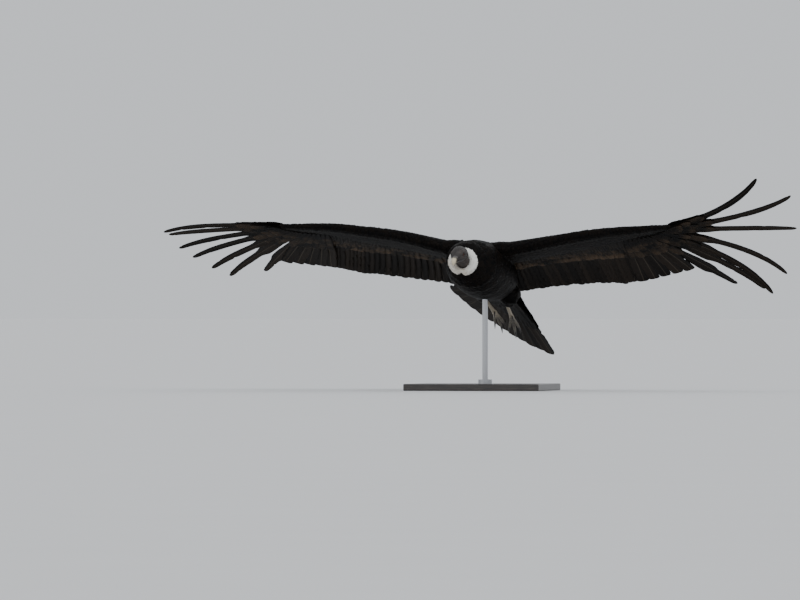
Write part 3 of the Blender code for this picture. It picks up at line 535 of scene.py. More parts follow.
class Feathers:
    # Gathers many blades into one mesh, with values that the materials read

    valueNames = ("along", "across", "under", "tone", "pale", "rusty", "flight")

    def __init__(self, seed):
        self.draw = np.random.default_rng(seed)
        self.points, self.quads, self.values, self.roots = [], [], [], []
        self.total = 0

    def add(self, spine, side, up, left, right, thick=0.0006, shaft=0.0024, camber=0.10, tilt=0.0,
            columns=4, ragged=0.018, splits=1, pale=0.0, rusty=0.0, flight=0.0):
        spine, side, up = (np.asarray(v, float) for v in (spine, side, up))
        rows = len(spine)
        share = np.concatenate([[0], np.cumsum(np.linalg.norm(np.diff(spine, axis=0), axis=1))])
        share = share / share[-1]
        inner = np.linspace(0, 1, columns + 1)[1:] ** 1.25
        if columns > 1:
            inner[0] = min(inner[0], 0.06)
        place = np.concatenate([-inner[::-1], [0], inner])
        count = len(place)
        rough = smoothStep(0.1, 0.4, share)[:, None]
        edge = np.ones((rows, 2)) + self.draw.normal(0, ragged, (rows, 2)) * rough
        for _ in range(splits):
            row = self.draw.integers(int(rows * 0.35), max(int(rows * 0.35) + 1, rows - 2))
            edge[row, self.draw.integers(0, 2)] *= self.draw.uniform(0.72, 0.90)
        along = unit(np.gradient(spine, axis=0))
        width = np.where(place < 0, left[:, None] * edge[:, :1], right[:, None] * edge[:, 1:])
        even = np.where(place < 0, left[:, None], right[:, None])
        across = place * np.where(np.abs(place) > 0.5, width, even)
        size = np.maximum(left, right)[:, None]
        rise = across * math.tan(tilt) - camber * size * place ** 2
        sweep = np.abs(across) * 0.25 * smoothStep(0.0, 0.3, share)[:, None] * (1 - share[:, None])
        middle = spine[:, None] + side[:, None] * across[..., None] + up[:, None] * rise[..., None]
        middle = middle + along[:, None] * sweep[..., None]
        taper = 1 - 0.75 * share
        deep = thick + (shaft - thick) * np.exp(-(place / 0.05) ** 2)[None] * taper[:, None]
        deep = np.broadcast_to(deep, across.shape) / 2
        top = middle + up[:, None] * deep[..., None]
        low = middle - up[:, None] * deep[..., None]
        turned = np.sum(np.cross(side, along) * up) < 0
        self.points.append(np.concatenate([top.reshape(-1, 3), low.reshape(-1, 3)]))
        self.quads.append(shellFaces(rows, count, turned) + self.total)
        half = rows * count
        n = half * 2
        value = np.zeros((n, len(self.valueNames)), np.float32)
        value[:, 0] = np.tile(np.repeat(share, count), 2)
        value[:, 1] = np.tile(place, 2 * rows)
        value[half:, 2] = 1
        value[:, 3:] = self.draw.uniform(0, 1), pale, rusty, flight
        self.values.append(value)
        self.roots.append(np.broadcast_to(spine[0], (n, 3)))
        self.total += n

    def build(self, name, finish):
        ob = meshObject(name, np.concatenate(self.points), np.concatenate(self.quads))
        value = np.concatenate(self.values)
        for k, key in enumerate(self.valueNames):
            putValues(ob, key, value[:, k])
        roots = np.concatenate(self.roots)
        patch = np.stack([value[:, 1] * 0.5 + 0.5, value[:, 0]], -1) * 0.003
        storeBakeMap(ob, wingUnwrap(roots) + patch)
        ob.data.materials.append(finish)
        return ob


def wingUnwrap(points):
    # The flat place of a feather's root, laid out along the span and the chord
    return np.stack([0.5 + points[:, 0] * 0.33, 0.25 + 0.5 * (points[:, 1] + 0.45) * 0.8], -1)


def bodyUnwrap(points, normals):
    # The skin laid flat in two sheets, the upper and the lower one, along the span and the length
    sheet = np.where(normals[:, 2] > 0, 0.02, 0.52)
    return np.stack([0.5 + points[:, 0] * 0.33, sheet + 0.46 * (points[:, 1] + 0.45) / 0.95], -1)


def roundTip(share, start):
    return np.sqrt(np.clip(1 - np.clip((share - start) / (1 - start), 0, 1) ** 2, 0.02, 1))


def bladeShape(share, rootWidth, tipWidth, fullAt, roundAt):
    # Share of the full width along a feather: narrow root, full blade, rounded tip
    rise = rootWidth + (1 - rootWidth) * smoothStep(0.0, fullAt, share)
    fall = 1 - (1 - tipWidth) * smoothStep(fullAt, 1.0, share)
    return rise * fall * roundTip(share, roundAt)


vanes = {
    "tilt": math.radians(4.5), "flightRows": 26, "covertRows": 13, "reach": 1.03,
    "armFlights": 10, "foreFlights": 14, "width": 0.060,
    # tiers of coverts: where they start and end, their lift at both, how many, how wide
    "aboveRows": ((0.26, 0.64, 0.0062, 0.0050, 27, 0.052), (0.20, 0.52, 0.0120, 0.0090, 33, 0.046),
                  (0.16, 0.42, 0.0165, 0.0125, 40, 0.036)),
    "belowRows": ((0.26, 0.60, -0.0060, -0.0052, 27, 0.052), (0.22, 0.50, -0.0105, -0.0085, 33, 0.044),
                  (0.17, 0.42, -0.0150, -0.0115, 40, 0.034)),
    # the tan of each tier below, and length and width of the hand's coverts
    "rust": (1.0, 0.55, 0.15), "handTiers": ((0.34, 0.042), (0.22, 0.034), (0.13, 0.026)),
    "rootFlights": (-0.42, 3), "covertRoot": -0.45, "paleFrom": 0.25, "root": 0.014,
    "covertLooks": {"splits": 1, "columns": 3, "ragged": 0.035, "shaft": 0.0012},
}


def rowShares(rows):
    # Places along a feather, closer together towards the tip
    even = np.linspace(0, 1, rows)
    return 0.35 * even + 0.65 * np.sin(even * np.pi / 2)


def chordFeather(batch, surface, t, start, end, lifts, width, rows, tipWidth=0.8, skew=0.0, **looks):
    share = rowShares(rows)
    places = t + skew * share
    q = start + (end - start) * share
    lift = lifts[0] + (lifts[1] - lifts[0]) * share
    spine = surface.placeAt(places, q, lift)
    here = surface.placeAt(t, (start + end) / 2)[0]
    span = unit(surface.placeAt(t + 0.02, (start + end) / 2)[0] - here)
    up = np.repeat(surface.frameAt(t)[3], rows, 0)
    blade = bladeShape(share, 0.30, tipWidth, 0.42, 0.88) * width
    span = np.repeat(span[None], rows, 0)
    batch.add(spine, span, up, blade * 0.58, blade * 0.42, tilt=vanes["tilt"], **looks)


def primaryPath(surface, index, tip, share):
    side = surface.side
    part = (index + 0.5) / fingers["count"]
    t = wing["wrist"] + 0.04 + (wing["handEnd"] - wing["wrist"] - 0.04) * part ** 0.9
    root = surface.placeAt(t, 0.20 * (1 - 0.80 * part ** 3))[0]
    lead, _, _, up = (v[0] for v in surface.frameAt(wing["handEnd"]))
    middle = root + (tip - root) * fingers["bend"]
    flat = lead[2] - (up[0] * (middle[0] - lead[0]) + up[1] * (middle[1] - lead[1])) / up[2]
    control = np.array((middle[0], middle[1], flat + wing["camber"] * 0.2))
    s = share[:, None]
    spine = root * (1 - s) ** 2 + control * 2 * s * (1 - s) + tip * s * s
    along = unit((control - root) * (1 - s) + (tip - control) * s)
    across = unit(side * np.cross(along, up))
    normal = unit(side * np.cross(across, along))
    return spine, across, normal


def wingFeathers(side):
    surface = WingSurface(side)
    name = {-1: "Right", 1: "Left"}[side]
    elbow, wrist = wing["elbow"], wing["wrist"]
    batch = Feathers(100 + side)
    draw = batch.draw
    low, count = vanes["rootFlights"]
    parts = (low, 0.0, count), (0.0, elbow, vanes["armFlights"]), (elbow, wrist + 0.14, vanes["foreFlights"])
    for low, high, count in parts:
        for k in range(count):
            t = low + (high - low) * (k + 0.5) / count
            end = vanes["reach"] - 0.10 * max(0.0, -t) + draw.uniform(-0.014, 0.010)
            chordFeather(batch, surface, t, 0.27, end, (0, 0), vanes["width"], vanes["flightRows"],
                         skew=draw.uniform(-0.01, 0.02), flight=1.0, splits=2,
                         pale=1.0 if vanes["paleFrom"] < t < wrist else 0.0)
    flights = batch.build("flight" + name, finishes["vane"])

    batch = Feathers(200 + side)
    draw = batch.draw
    for way, rowsOf in (("above", vanes["aboveRows"]), ("below", vanes["belowRows"])):
        for tier, (start, end, lift, endLift, count, width) in enumerate(rowsOf):
            for k in range(count):
                t = vanes["covertRoot"] + (wrist + 0.57) * (k + 0.5 + draw.uniform(-0.15, 0.15)) / count
                rusty = vanes["rust"][tier] * (way == "below")
                pale = 0.9 if way == "above" and tier == 0 and t > 0.3 else 0.0
                reach = end + draw.uniform(-0.02, 0.02)
                chordFeather(batch, surface, t, start, reach, (lift, endLift), width, vanes["covertRows"],
                             0.86, pale=pale, rusty=rusty, **vanes["covertLooks"])
    coverts = batch.build("covert" + name, finishes["vane"])

    batch = Feathers(300 + side)
    draw = batch.draw
    first, step = fingers["innerTips"]
    tips = [surface.placeAt(wrist + first + step * k, vanes["reach"])[0] for k in range(fingers["inner"])]
    tips += [np.array(tip) for tip in reversed(fingers["tips"][side])]
    for k in range(fingers["count"]):
        share = rowShares(34)
        spine, across, normal = primaryPath(surface, k, tips[k], share)
        if k < fingers["inner"]:
            blade = bladeShape(share, 0.25, 0.85, 0.5, 0.92) * fingers["broad"]
        else:
            notch = fingers["notch"][fingers["count"] - 1 - k]
            broad = fingers["broad"] * (1.0 if k < fingers["count"] - 3 else 0.85)
            rise = vanes["root"] + (broad - vanes["root"]) * smoothStep(0.0, notch - 0.04, share)
            blade = rise + (fingers["narrow"] - broad) * smoothStep(notch - 0.05, notch + 0.06, share)
            blade = blade * (1 - 0.34 * smoothStep(0.6, 0.97, share))
            blade = blade * roundTip(share, 0.90)
        batch.add(spine, across, normal, blade / 2, blade / 2, shaft=0.0036, camber=0.14, tilt=vanes["tilt"],
                  flight=1.0, splits=2)
        for way in (1, -1):
            for tier, (portion, width) in enumerate(vanes["handTiers"]):
                reach = portion * (1.15 if k < fingers["inner"] else 0.85) + draw.uniform(-0.015, 0.015)
                small = rowShares(vanes["covertRows"])
                s, a, n = primaryPath(surface, k, tips[k], small * reach)
                lift = way * (0.0054 + 0.0042 * tier)
                blade = bladeShape(small, 0.35, 0.85, 0.4, 0.86) * width / 2
                batch.add(s + n * lift, a, n, blade, blade, tilt=vanes["tilt"], rusty=0.5 * (way < 0),
                          **vanes["covertLooks"])
    hand = batch.build("primary" + name, finishes["vane"])
    for ob, nodes in ((flights, ("arm", "forearm")), (coverts, ("arm", "forearm")), (hand, ("hand",))):
        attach(ob, "root")
        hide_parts(*[f"wing_{name.lower()}_{node}" for node in nodes])


tailFan = {
    "base": (0.05, 0.30, 0.428), "aft": (-0.275, 0.8745, -0.3986), "left": (0.8465, 0.0214, -0.5312),
    "length": 0.40, "spread": math.radians(35.5), "roots": 0.034, "count": 12, "width": 0.072, "rows": 30,
    # in each tier: how many, where they start and end, how high they lie
    "coverts": ((15, -0.01, 0.21, 0.007), (13, -0.02, 0.160, 0.012), (13, -0.03, 0.115, 0.017),
                (11, -0.035, 0.075, 0.022), (11, -0.04, 0.040, 0.028)),
}


def tailAxes():
    aft, left = unit(tailFan["aft"]), unit(tailFan["left"])
    return np.array(tailFan["base"]), aft, left, unit(np.cross(left, aft))


def tailFeathers():
    batch = Feathers(12)
    draw = batch.draw
    base, aft, left, normal = tailAxes()

    def lay(angle, start, length, width, lift, rows, rootSpread=1.0, **looks):
        share = rowShares(rows)
        way = unit(left * math.sin(angle) + aft * math.cos(angle))
        sign = 1 if angle >= 0 else -1
        side = unit(sign * np.cross(way, normal))
        root = base + left * tailFan["roots"] * angle / tailFan["spread"] * rootSpread
        spine = root + way * (start + (length - start) * share)[:, None] + normal * lift[:, None]
        blade = bladeShape(share, 0.16, 0.92, 0.55, 0.90) * width / 2
        batch.add(spine, np.repeat(side[None], rows, 0), np.repeat(normal[None], rows, 0), blade, blade,
                  tilt=vanes["tilt"], **looks)

    for k in range(tailFan["count"]):
        angle = tailFan["spread"] * (2 * k / (tailFan["count"] - 1) - 1)
        outward = abs(angle) / tailFan["spread"]
        length = tailFan["length"] * (0.962 + 0.035 * outward) + draw.uniform(-0.004, 0.003)
        lift = np.full(tailFan["rows"], -0.004 * outward)
        lay(angle, 0.02, length, tailFan["width"], lift, tailFan["rows"], shaft=0.0030, flight=1.0, splits=2)
    for way in (1, -1):
        for tier, (count, start, length, height) in enumerate(tailFan["coverts"]):
            for k in range(count):
                angle = tailFan["spread"] * (0.97 - 0.06 * tier) * (2 * k / (count - 1) - 1)
                share = rowShares(vanes["covertRows"])
                outward = abs(angle) / tailFan["spread"]
                lift = way * (height + (0.004 - height) * share ** 1.3 * 0.75) - 0.004 * outward
                lay(angle, start, length + draw.uniform(-0.012, 0.012), 0.050 - 0.003 * tier, lift,
                    vanes["covertRows"], 1.5, **{**vanes["covertLooks"], "ragged": 0.04})
    ob = batch.build("tailFan", finishes["vane"])
    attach(ob, "root")
    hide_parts("tail")


# The body's skin

body = {
    "rows": (
        (-0.330, -0.012, 0.559, 0.048, 0.048), (-0.305, -0.006, 0.558, 0.080, 0.077),
        (-0.265, 0.002, 0.552, 0.106, 0.099), (-0.205, 0.007, 0.544, 0.122, 0.113),
        (-0.140, 0.014, 0.533, 0.129, 0.120), (-0.070, 0.021, 0.519, 0.130, 0.122),
        (0.000, 0.026, 0.507, 0.125, 0.119), (0.070, 0.031, 0.493, 0.114, 0.108),
        (0.135, 0.037, 0.476, 0.098, 0.091), (0.195, 0.042, 0.459, 0.080, 0.070),
        (0.240, 0.046, 0.446, 0.066, 0.054),
    ),
    "tailRings": ((-0.045, 0.056, 0.034), (-0.01, 0.057, 0.022), (0.03, 0.053, 0.013), (0.065, 0.044, 0.007)),
    # where the wing's core runs on into the body: how far, how much lower and how much smaller
    "coreRoot": ((0.13, 0.03, 0.70), (0.085, 0.002, 0.92), (0.04, -0.002, 1.0)),
    "inset": 0.0055, "voxel": 0.0054,
    "heels": {-1: (-0.020, 0.150, 0.398), 1: (0.075, 0.150, 0.380)},
    "feet": {-1: (0.000, 0.255, 0.338), 1: (0.076, 0.255, 0.318)},
    # the thigh's path from the heel, its first column a share of how far it bends out
    "thigh": ((0.5, -0.150, 0.085), (1.0, -0.085, 0.047), (0.7, -0.035, 0.020), (0.0, 0.012, 0.002)),
    "thighOut": {-1: -0.004, 1: 0.024}, "thighRadii": (0.017, 0.040, 0.032, 0.012),
}


def tailRing(reach, wide, high, sides):
    base, aft, left, normal = tailAxes()
    turn = fullTurn(sides)[:, None]
    return base + aft * reach + left * wide * np.cos(turn) + normal * high * np.sin(turn)


def bodySkin():
    inset = body["inset"]
    sides = 40
    turn = fullTurn(sides)
    c, s = np.cos(turn), np.sin(turn)
    rings = []
    for y, x, z, wide, high in body["rows"]:
        wide, high = wide - inset, high - inset
        across, rise = wide * np.copysign(np.abs(c) ** 0.9, c), high * np.copysign(np.abs(s) ** 0.9, s)
        rings.append(np.stack([x + across, np.full(sides, y), z + rise], -1))
    rings += [tailRing(reach, wide, high, sides) for reach, wide, high in body["tailRings"]]
    pieces = [loftRings("body", rings)]
    section = np.array(wing["section"])
    for side in (-1, 1):
        surface = WingSurface(side)
        rings = []
        for t in np.concatenate([np.linspace(0, 3.0, 25), np.linspace(3.1, 4.0, 10)]):
            thick = max(blendAt(wing["thickness"], t) - 1.6 * wing["coatDepth"], 0.009)
            q = section[:, 0] * blendAt(wing["depth"], t) * 0.97 + 0.012
            rings.append(surface.placeAt(np.full(len(q), t), q, section[:, 1] * thick))
        first = rings[0]
        centre = first.mean(0)
        inward = [centre + (first - centre) * shrink + np.array((-side * step, 0, -drop))
                  for step, drop, shrink in body["coreRoot"]]
        pieces.append(loftRings("wingCore", inward + rings))
        out = body["thighOut"][side]
        path = np.array(body["heels"][side]) + np.array(body["thigh"]) * (out, 1, 1)
        pieces.append(tube("thigh", path, body["thighRadii"], 20))
    skin = join("birdSkin", pieces)
    blend = skin.modifiers.new("blend", "REMESH")
    blend.mode, blend.voxel_size = "VOXEL", body["voxel"]
    soften = skin.modifiers.new("soften", "SMOOTH")
    soften.factor, soften.iterations = 0.6, 4
    plain(skin, "birdSkin")
    makeSmooth(skin.data)
    return skin


def spanPlace(surface, co):
    # The place t along the span whose cross section lies nearest to each point
    grid = np.linspace(-0.3, 4.1, 221)
    lead, chord, _, up = surface.frameAt(grid)
    best, found = np.full(len(co), 1e9), np.zeros(len(co))
    for k in range(len(grid)):
        off = np.abs((co - lead[k]) @ unit(np.cross(up[k], chord[k])))
        take = off < best
        best[take], found[take] = off[take], grid[k]
    return found


def dressSkin(skin):
    # Values on the skin that steer the coat: a region for each face, the size and lie of its feathers.
    # Regions: 0 front, 3 back, 1 and 2 above the left and right wing, 4 and 5 below, 6 and 7 their
    # leading edges, -1 bare
    co = pointsOf(skin)
    no = fetch(skin.data.vertex_normals, "vector", 3).reshape(-1, 3).astype(float)
    x, y, z = co.T
    rows = np.array(body["rows"])
    middleX, middleZ, wide, high = (np.interp(y, rows[:, 0], rows[:, k]) for k in (1, 2, 3, 4))
    outside = ((x - middleX) / wide) ** 2 + ((z - middleZ) / high) ** 2 > 1.04
    shoulder = outside & (y > -0.26) & (y < 0.20) & (z > middleZ)
    region = np.zeros(len(co))
    lie = np.tile(np.array((0.06, 1.0, -0.16)), (len(co), 1))
    base, aft = tailAxes()[:2]
    edge, behind = np.zeros((2, len(co)), bool)
    small = (1 - 0.25 * smoothStep(-0.22, -0.32, y)) * (1 - 0.35 * smoothStep(0.17, 0.27, y))
    nearTail = smoothStep(0.16, 0.28, y)[:, None]
    lie = lie * (1 - nearTail) + aft * nearTail
    for side in (-1, 1):
        out = side * (x - middleX)
        onWing = np.flatnonzero((out > wide * 1.02) | (shoulder & (out > wide * 0.4)))
        region[onWing] = 1 if side > 0 else 2
        surface = WingSurface(side)
        t = spanPlace(surface, co[onWing])
        _, chord, outward, _ = surface.frameAt(np.clip(t, 0, 4))
        lie[onWing] = unit(chord) + outward * np.clip((t - 1.5) * 0.25, 0, 0.9)[:, None]
        facing = -np.sum(no[onWing] * unit(chord), 1)
        small[onWing] = (1 - 0.08 * smoothStep(0.15, 0.75, facing)) * (1 - 0.08 * smoothStep(1.2, 3.0, t))
        behind[onWing[facing < -0.38]] = True
        edge[onWing[facing > 0.25]] = True
    behind |= (np.sum(unit(lie) * no, 1) > 0.6) & (y < 0.2) & (z > 0.48)
    lie = lie - no * np.sum(lie * no, 1)[:, None]
    putValues(skin, "lie", unit(lie), "FLOAT_VECTOR")
    region[(region == 0) & (y > -0.05)] = 3
    region[(region == 1) & (no[:, 2] < 0)] = 4
    region[(region == 2) & (no[:, 2] < 0)] = 5
    region[edge & (region % 3 == 1)] = 6
    region[edge & (region % 3 == 2)] = 7
    region[behind | ((co - base) @ aft > 0.035)] = -1
    first = fetch(skin.data.polygons, "loop_start", 1, np.int32)
    corners = fetch(skin.data.loops, "vertex_index", 1, np.int32)
    putValues(skin, "region", region[corners[first]], domain="FACE")
    putValues(skin, "coatScale", small)
    places = bodyUnwrap(co, no)
    putValues(skin, "bakePlace", np.concatenate([places, np.zeros((len(co), 1))], 1), "FLOAT_VECTOR")
    storeBakeMap(skin, places)


# Small feathers laid over the skin by a geometry tree

coat = {
    "rows": 6, "columns": 5, "thick": 0.008, "fray": (-0.03, 0.03, -0.025, 0.045, -0.05),
    "lift": 0.055, "wild": 0.05, "density": 90000.0,
    # each piece's name, region, spacing, length and seed
    "pieces": (
        ("coatFront", 0.0, 0.0101, 0.037, 3), ("coatBack", 3.0, 0.0101, 0.041, 6),
        ("coatWingLeft", 1.0, 0.0086, 0.030, 4), ("coatWingRight", 2.0, 0.0086, 0.030, 5),
        ("coatUnderLeft", 4.0, 0.0086, 0.028, 7), ("coatUnderRight", 5.0, 0.0086, 0.028, 8),
        ("coatEdgeLeft", 6.0, 0.0062, 0.0165, 9), ("coatEdgeRight", 7.0, 0.0062, 0.0165, 10),
    ),
}


def smallFeather():
    # One small feather of unit length, lying along +Y and rising a little, closed all round
    rows, columns, thick = coat["rows"], coat["columns"], coat["thick"]
    share = np.linspace(0, 1, rows)[:, None]
    place = np.linspace(-1, 1, columns)
    width = 0.78 * roundTip(share, 0.55) * (0.35 + 0.65 * smoothStep(0, 0.5, share))
    curl = 0.070 * np.sin(np.pi * share * 0.92) - 0.04 * share - 0.05 * share ** 3
    x = width * place * 0.5
    y = share - (0.10 * np.abs(place) ** 1.5 - np.array(coat["fray"])) * share ** 2
    z = curl - 0.10 * width * place ** 2
    top, low, patch = (np.stack(v, -1).reshape(-1, 3) for v in (
        (x, y, z + thick / 2), (x, y, z - thick / 2), (x, y, 0 * x)))
    ob = meshObject("smallFeather", np.concatenate([top, low]), shellFaces(rows, columns))
    putValues(ob, "patch", np.concatenate([patch, patch]), "FLOAT_VECTOR")
    ob.hide_render = True
    return ob


def coatTree():
    # Feathers on a skin: chosen region, spacing, length, lift and a fixed seed
    group = bpy.data.node_groups.new("featherCoat", "GeometryNodeTree")
    tree = Tree(group)
    face = group.interface
    face.new_socket("Geometry", in_out="INPUT", socket_type="NodeSocketGeometry")
    for label, kind in (("Region", "Float"), ("Spacing", "Float"), ("Length", "Float"), ("Lift", "Float"),
                        ("Feather", "Object"), ("Finish", "Material"), ("Seed", "Int"), ("Wild", "Float")):
        face.new_socket(label, in_out="INPUT", socket_type="NodeSocket" + kind)
    face.new_socket("Geometry", in_out="OUTPUT", socket_type="NodeSocketGeometry")
    start = group.nodes.new("NodeGroupInput")
    given = {socket.name: Sock(tree, socket) for socket in start.outputs if socket.name}

    def named(name, kind="FLOAT"):
        return tree.node("GeometryNodeInputNamedAttribute", {"data_type": kind}, {"Name": name})

    def store(geometry, name, kind, domain, value):
        settings = {"data_type": kind, "domain": domain}
        links = {"Geometry": geometry, "Name": name, "Value": value}
        return tree.node("GeometryNodeStoreNamedAttribute", settings, links)

    def chance(low, high, offset):
        seed = given["Seed"] + offset
        made = group.nodes.new("FunctionNodeRandomValue")
        made.data_type = "FLOAT"
        made.inputs[2].default_value, made.inputs[3].default_value = low, high
        group.links.new(seed.out, made.inputs["Seed"])
        return Sock(tree, made.outputs[1])

    inside = named("region").maths("COMPARE", given["Region"], 0.25)
    spread = tree.node(
        "GeometryNodeDistributePointsOnFaces", {"distribute_method": "POISSON"},
        {"Mesh": given["Geometry"], "Distance Min": given["Spacing"], "Density Max": coat["density"],
         "Density Factor": inside, "Seed": given["Seed"]},
    )
    normal = Sock(tree, spread.out.node.outputs["Normal"])
    align = "FunctionNodeAlignEulerToVector"
    along = tree.node(align, {"axis": "Y"}, {"Vector": named("lie", "FLOAT_VECTOR")})
    turned = tree.node(align, {"axis": "Z", "pivot_axis": "Y"}, {"Rotation": along, "Vector": normal})
    wild = given["Wild"]
    lean = {0: given["Lift"] * chance(0.7, 1.3, 3), 1: wild * chance(-1, 1, 4), 2: wild * chance(-1, 1, 5)}
    lean = tree.node("ShaderNodeCombineXYZ", {}, lean)
    turned = tree.node("FunctionNodeRotateEuler", {"space": "LOCAL"}, {"Rotation": turned, "Rotate By": lean})
    size = given["Length"] * named("coatScale") * chance(0.82, 1.18, 6)
    points = store(spread, "rootPlace", "FLOAT_VECTOR", "POINT", named("bakePlace", "FLOAT_VECTOR"))
    points = store(points, "tone", "FLOAT", "POINT", chance(0, 1, 7))
    source = {"Object": given["Feather"]}
    source = tree.node("GeometryNodeObjectInfo", {"transform_space": "ORIGINAL"}, source, "Geometry")
    placed = {"Points": points, "Instance": source, "Rotation": turned, "Scale": size}
    grown = tree.node("GeometryNodeInstanceOnPoints", {}, placed)
    grown = tree.node("GeometryNodeRealizeInstances", {}, {"Geometry": grown})
    patch = {0: named("patch", "FLOAT_VECTOR"), "Scale": 0.003}
    patch = tree.node("ShaderNodeVectorMath", {"operation": "SCALE"}, patch)
    flat = {0: named("rootPlace", "FLOAT_VECTOR"), 1: patch}
    flat = tree.node("ShaderNodeVectorMath", {"operation": "ADD"}, flat)
    grown = store(grown, "OFBake", "FLOAT2", "CORNER", flat)
    grown = tree.node("GeometryNodeSetMaterial", {}, {"Geometry": grown, "Material": given["Finish"]})
    end = group.nodes.new("NodeGroupOutput")
    group.links.new(grown.out, end.inputs[0])
    return group


def growCoat(skin, group, name, **inputs):
    # A coat piece grown on a copy of the skin and made a plain mesh
    ob = linked(name, skin.data)
    grower = ob.modifiers.new("coat", "NODES")
    grower.node_group = group
    for socket in group.interface.items_tree:
        if socket.item_type == "SOCKET" and socket.in_out == "INPUT" and socket.name in inputs:
            grower[socket.identifier] = inputs[socket.name]
    plain(ob, name)
    makeSmooth(ob.data)
    for spare in ("rootPlace", "patch", "lie", "region", "coatScale", "bakePlace"):
        layer = ob.data.attributes.get(spare)
        if layer:
            ob.data.attributes.remove(layer)
    ob.data.calc_loop_triangles()
    print("scene:", name, len(ob.data.loop_triangles), "triangles")
    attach(ob, "root")


# Head, neck, bill and eyes

head = {
    "place": np.array((-0.007, -0.440, 0.585)), "forward": unit((-0.066, -0.948, -0.309)),
    "rows": (
        (-0.050, 0.0265, 0.0260, 0.0260, -0.004), (-0.040, 0.0305, 0.0310, 0.0290, -0.002),
        (-0.022, 0.0335, 0.0350, 0.0310, 0.0), (-0.004, 0.0330, 0.0355, 0.0300, 0.0),
        (0.012, 0.0295, 0.0330, 0.0270, 0.0), (0.026, 0.0230, 0.0265, 0.0235, -0.001),
        (0.038, 0.0172, 0.0200, 0.0178, -0.003), (0.048, 0.0146, 0.0176, 0.0146, -0.004),
    ),
    "eye": (0.011, 0.0222, 0.0080), "eyeRadius": 0.0085,
    # each rim's radius, thickness and how far it stands proud of the eyeball
    "lidRims": ((0.0068, 0.00095, 0.00032), (0.0082, 0.00085, 0.000288), (0.0096, 0.0007, 0.000252)),
    "neckStart": np.array((-0.012, -0.300, 0.556)), "neckRadius": 0.030,
    "skinRows": 143, "neckRows": 62, "columns": 262, "back": -0.0495, "front": 0.0480,
}


def headAxes():
    forward = head["forward"]
    left = unit(np.cross((0, 0, 1), forward))
    left = -left if left[0] < 0 else left
    up = unit(np.cross(forward, left))
    return forward, left, (-up if up[2] < 0 else up)


def atHead(s, left, high):
    ahead, side, up = headAxes()
    s, left, high = (np.asarray(v, float)[..., None] for v in (s, left, high))
    return head["place"] + ahead * s + side * left + up * high


def ridge(x, width):
    return np.exp(-(x / width) ** 2)


def waves(rng, p, count, low, high):
    # Sum of random waves over flat places, a soft noise between -1 and 1
    total = np.zeros(p.shape[:-1])
    for _ in range(count):
        way = rng.normal(size=p.shape[-1])
        way = way / np.linalg.norm(way) * rng.uniform(low, high)
        total += np.sin(p @ way + rng.uniform(0, 6.283))
    return total / math.sqrt(count)


# how far each form of the bare skin stands up or lies in
skinDepth = {
    "neck": 0.0010, "crown": 0.00075, "nape": 0.0010, "fine": 0.00022, "brow": 0.0022, "pouch": 0.0012,
    "lid": 0.0015, "wrinkle": 0.0005, "earRim": 0.0009, "ear": 0.0026, "mouth": 0.0020, "lip": 0.0008,
    "nostrilRim": 0.0006, "nostril": 0.0036, "throat": 0.0042,
}


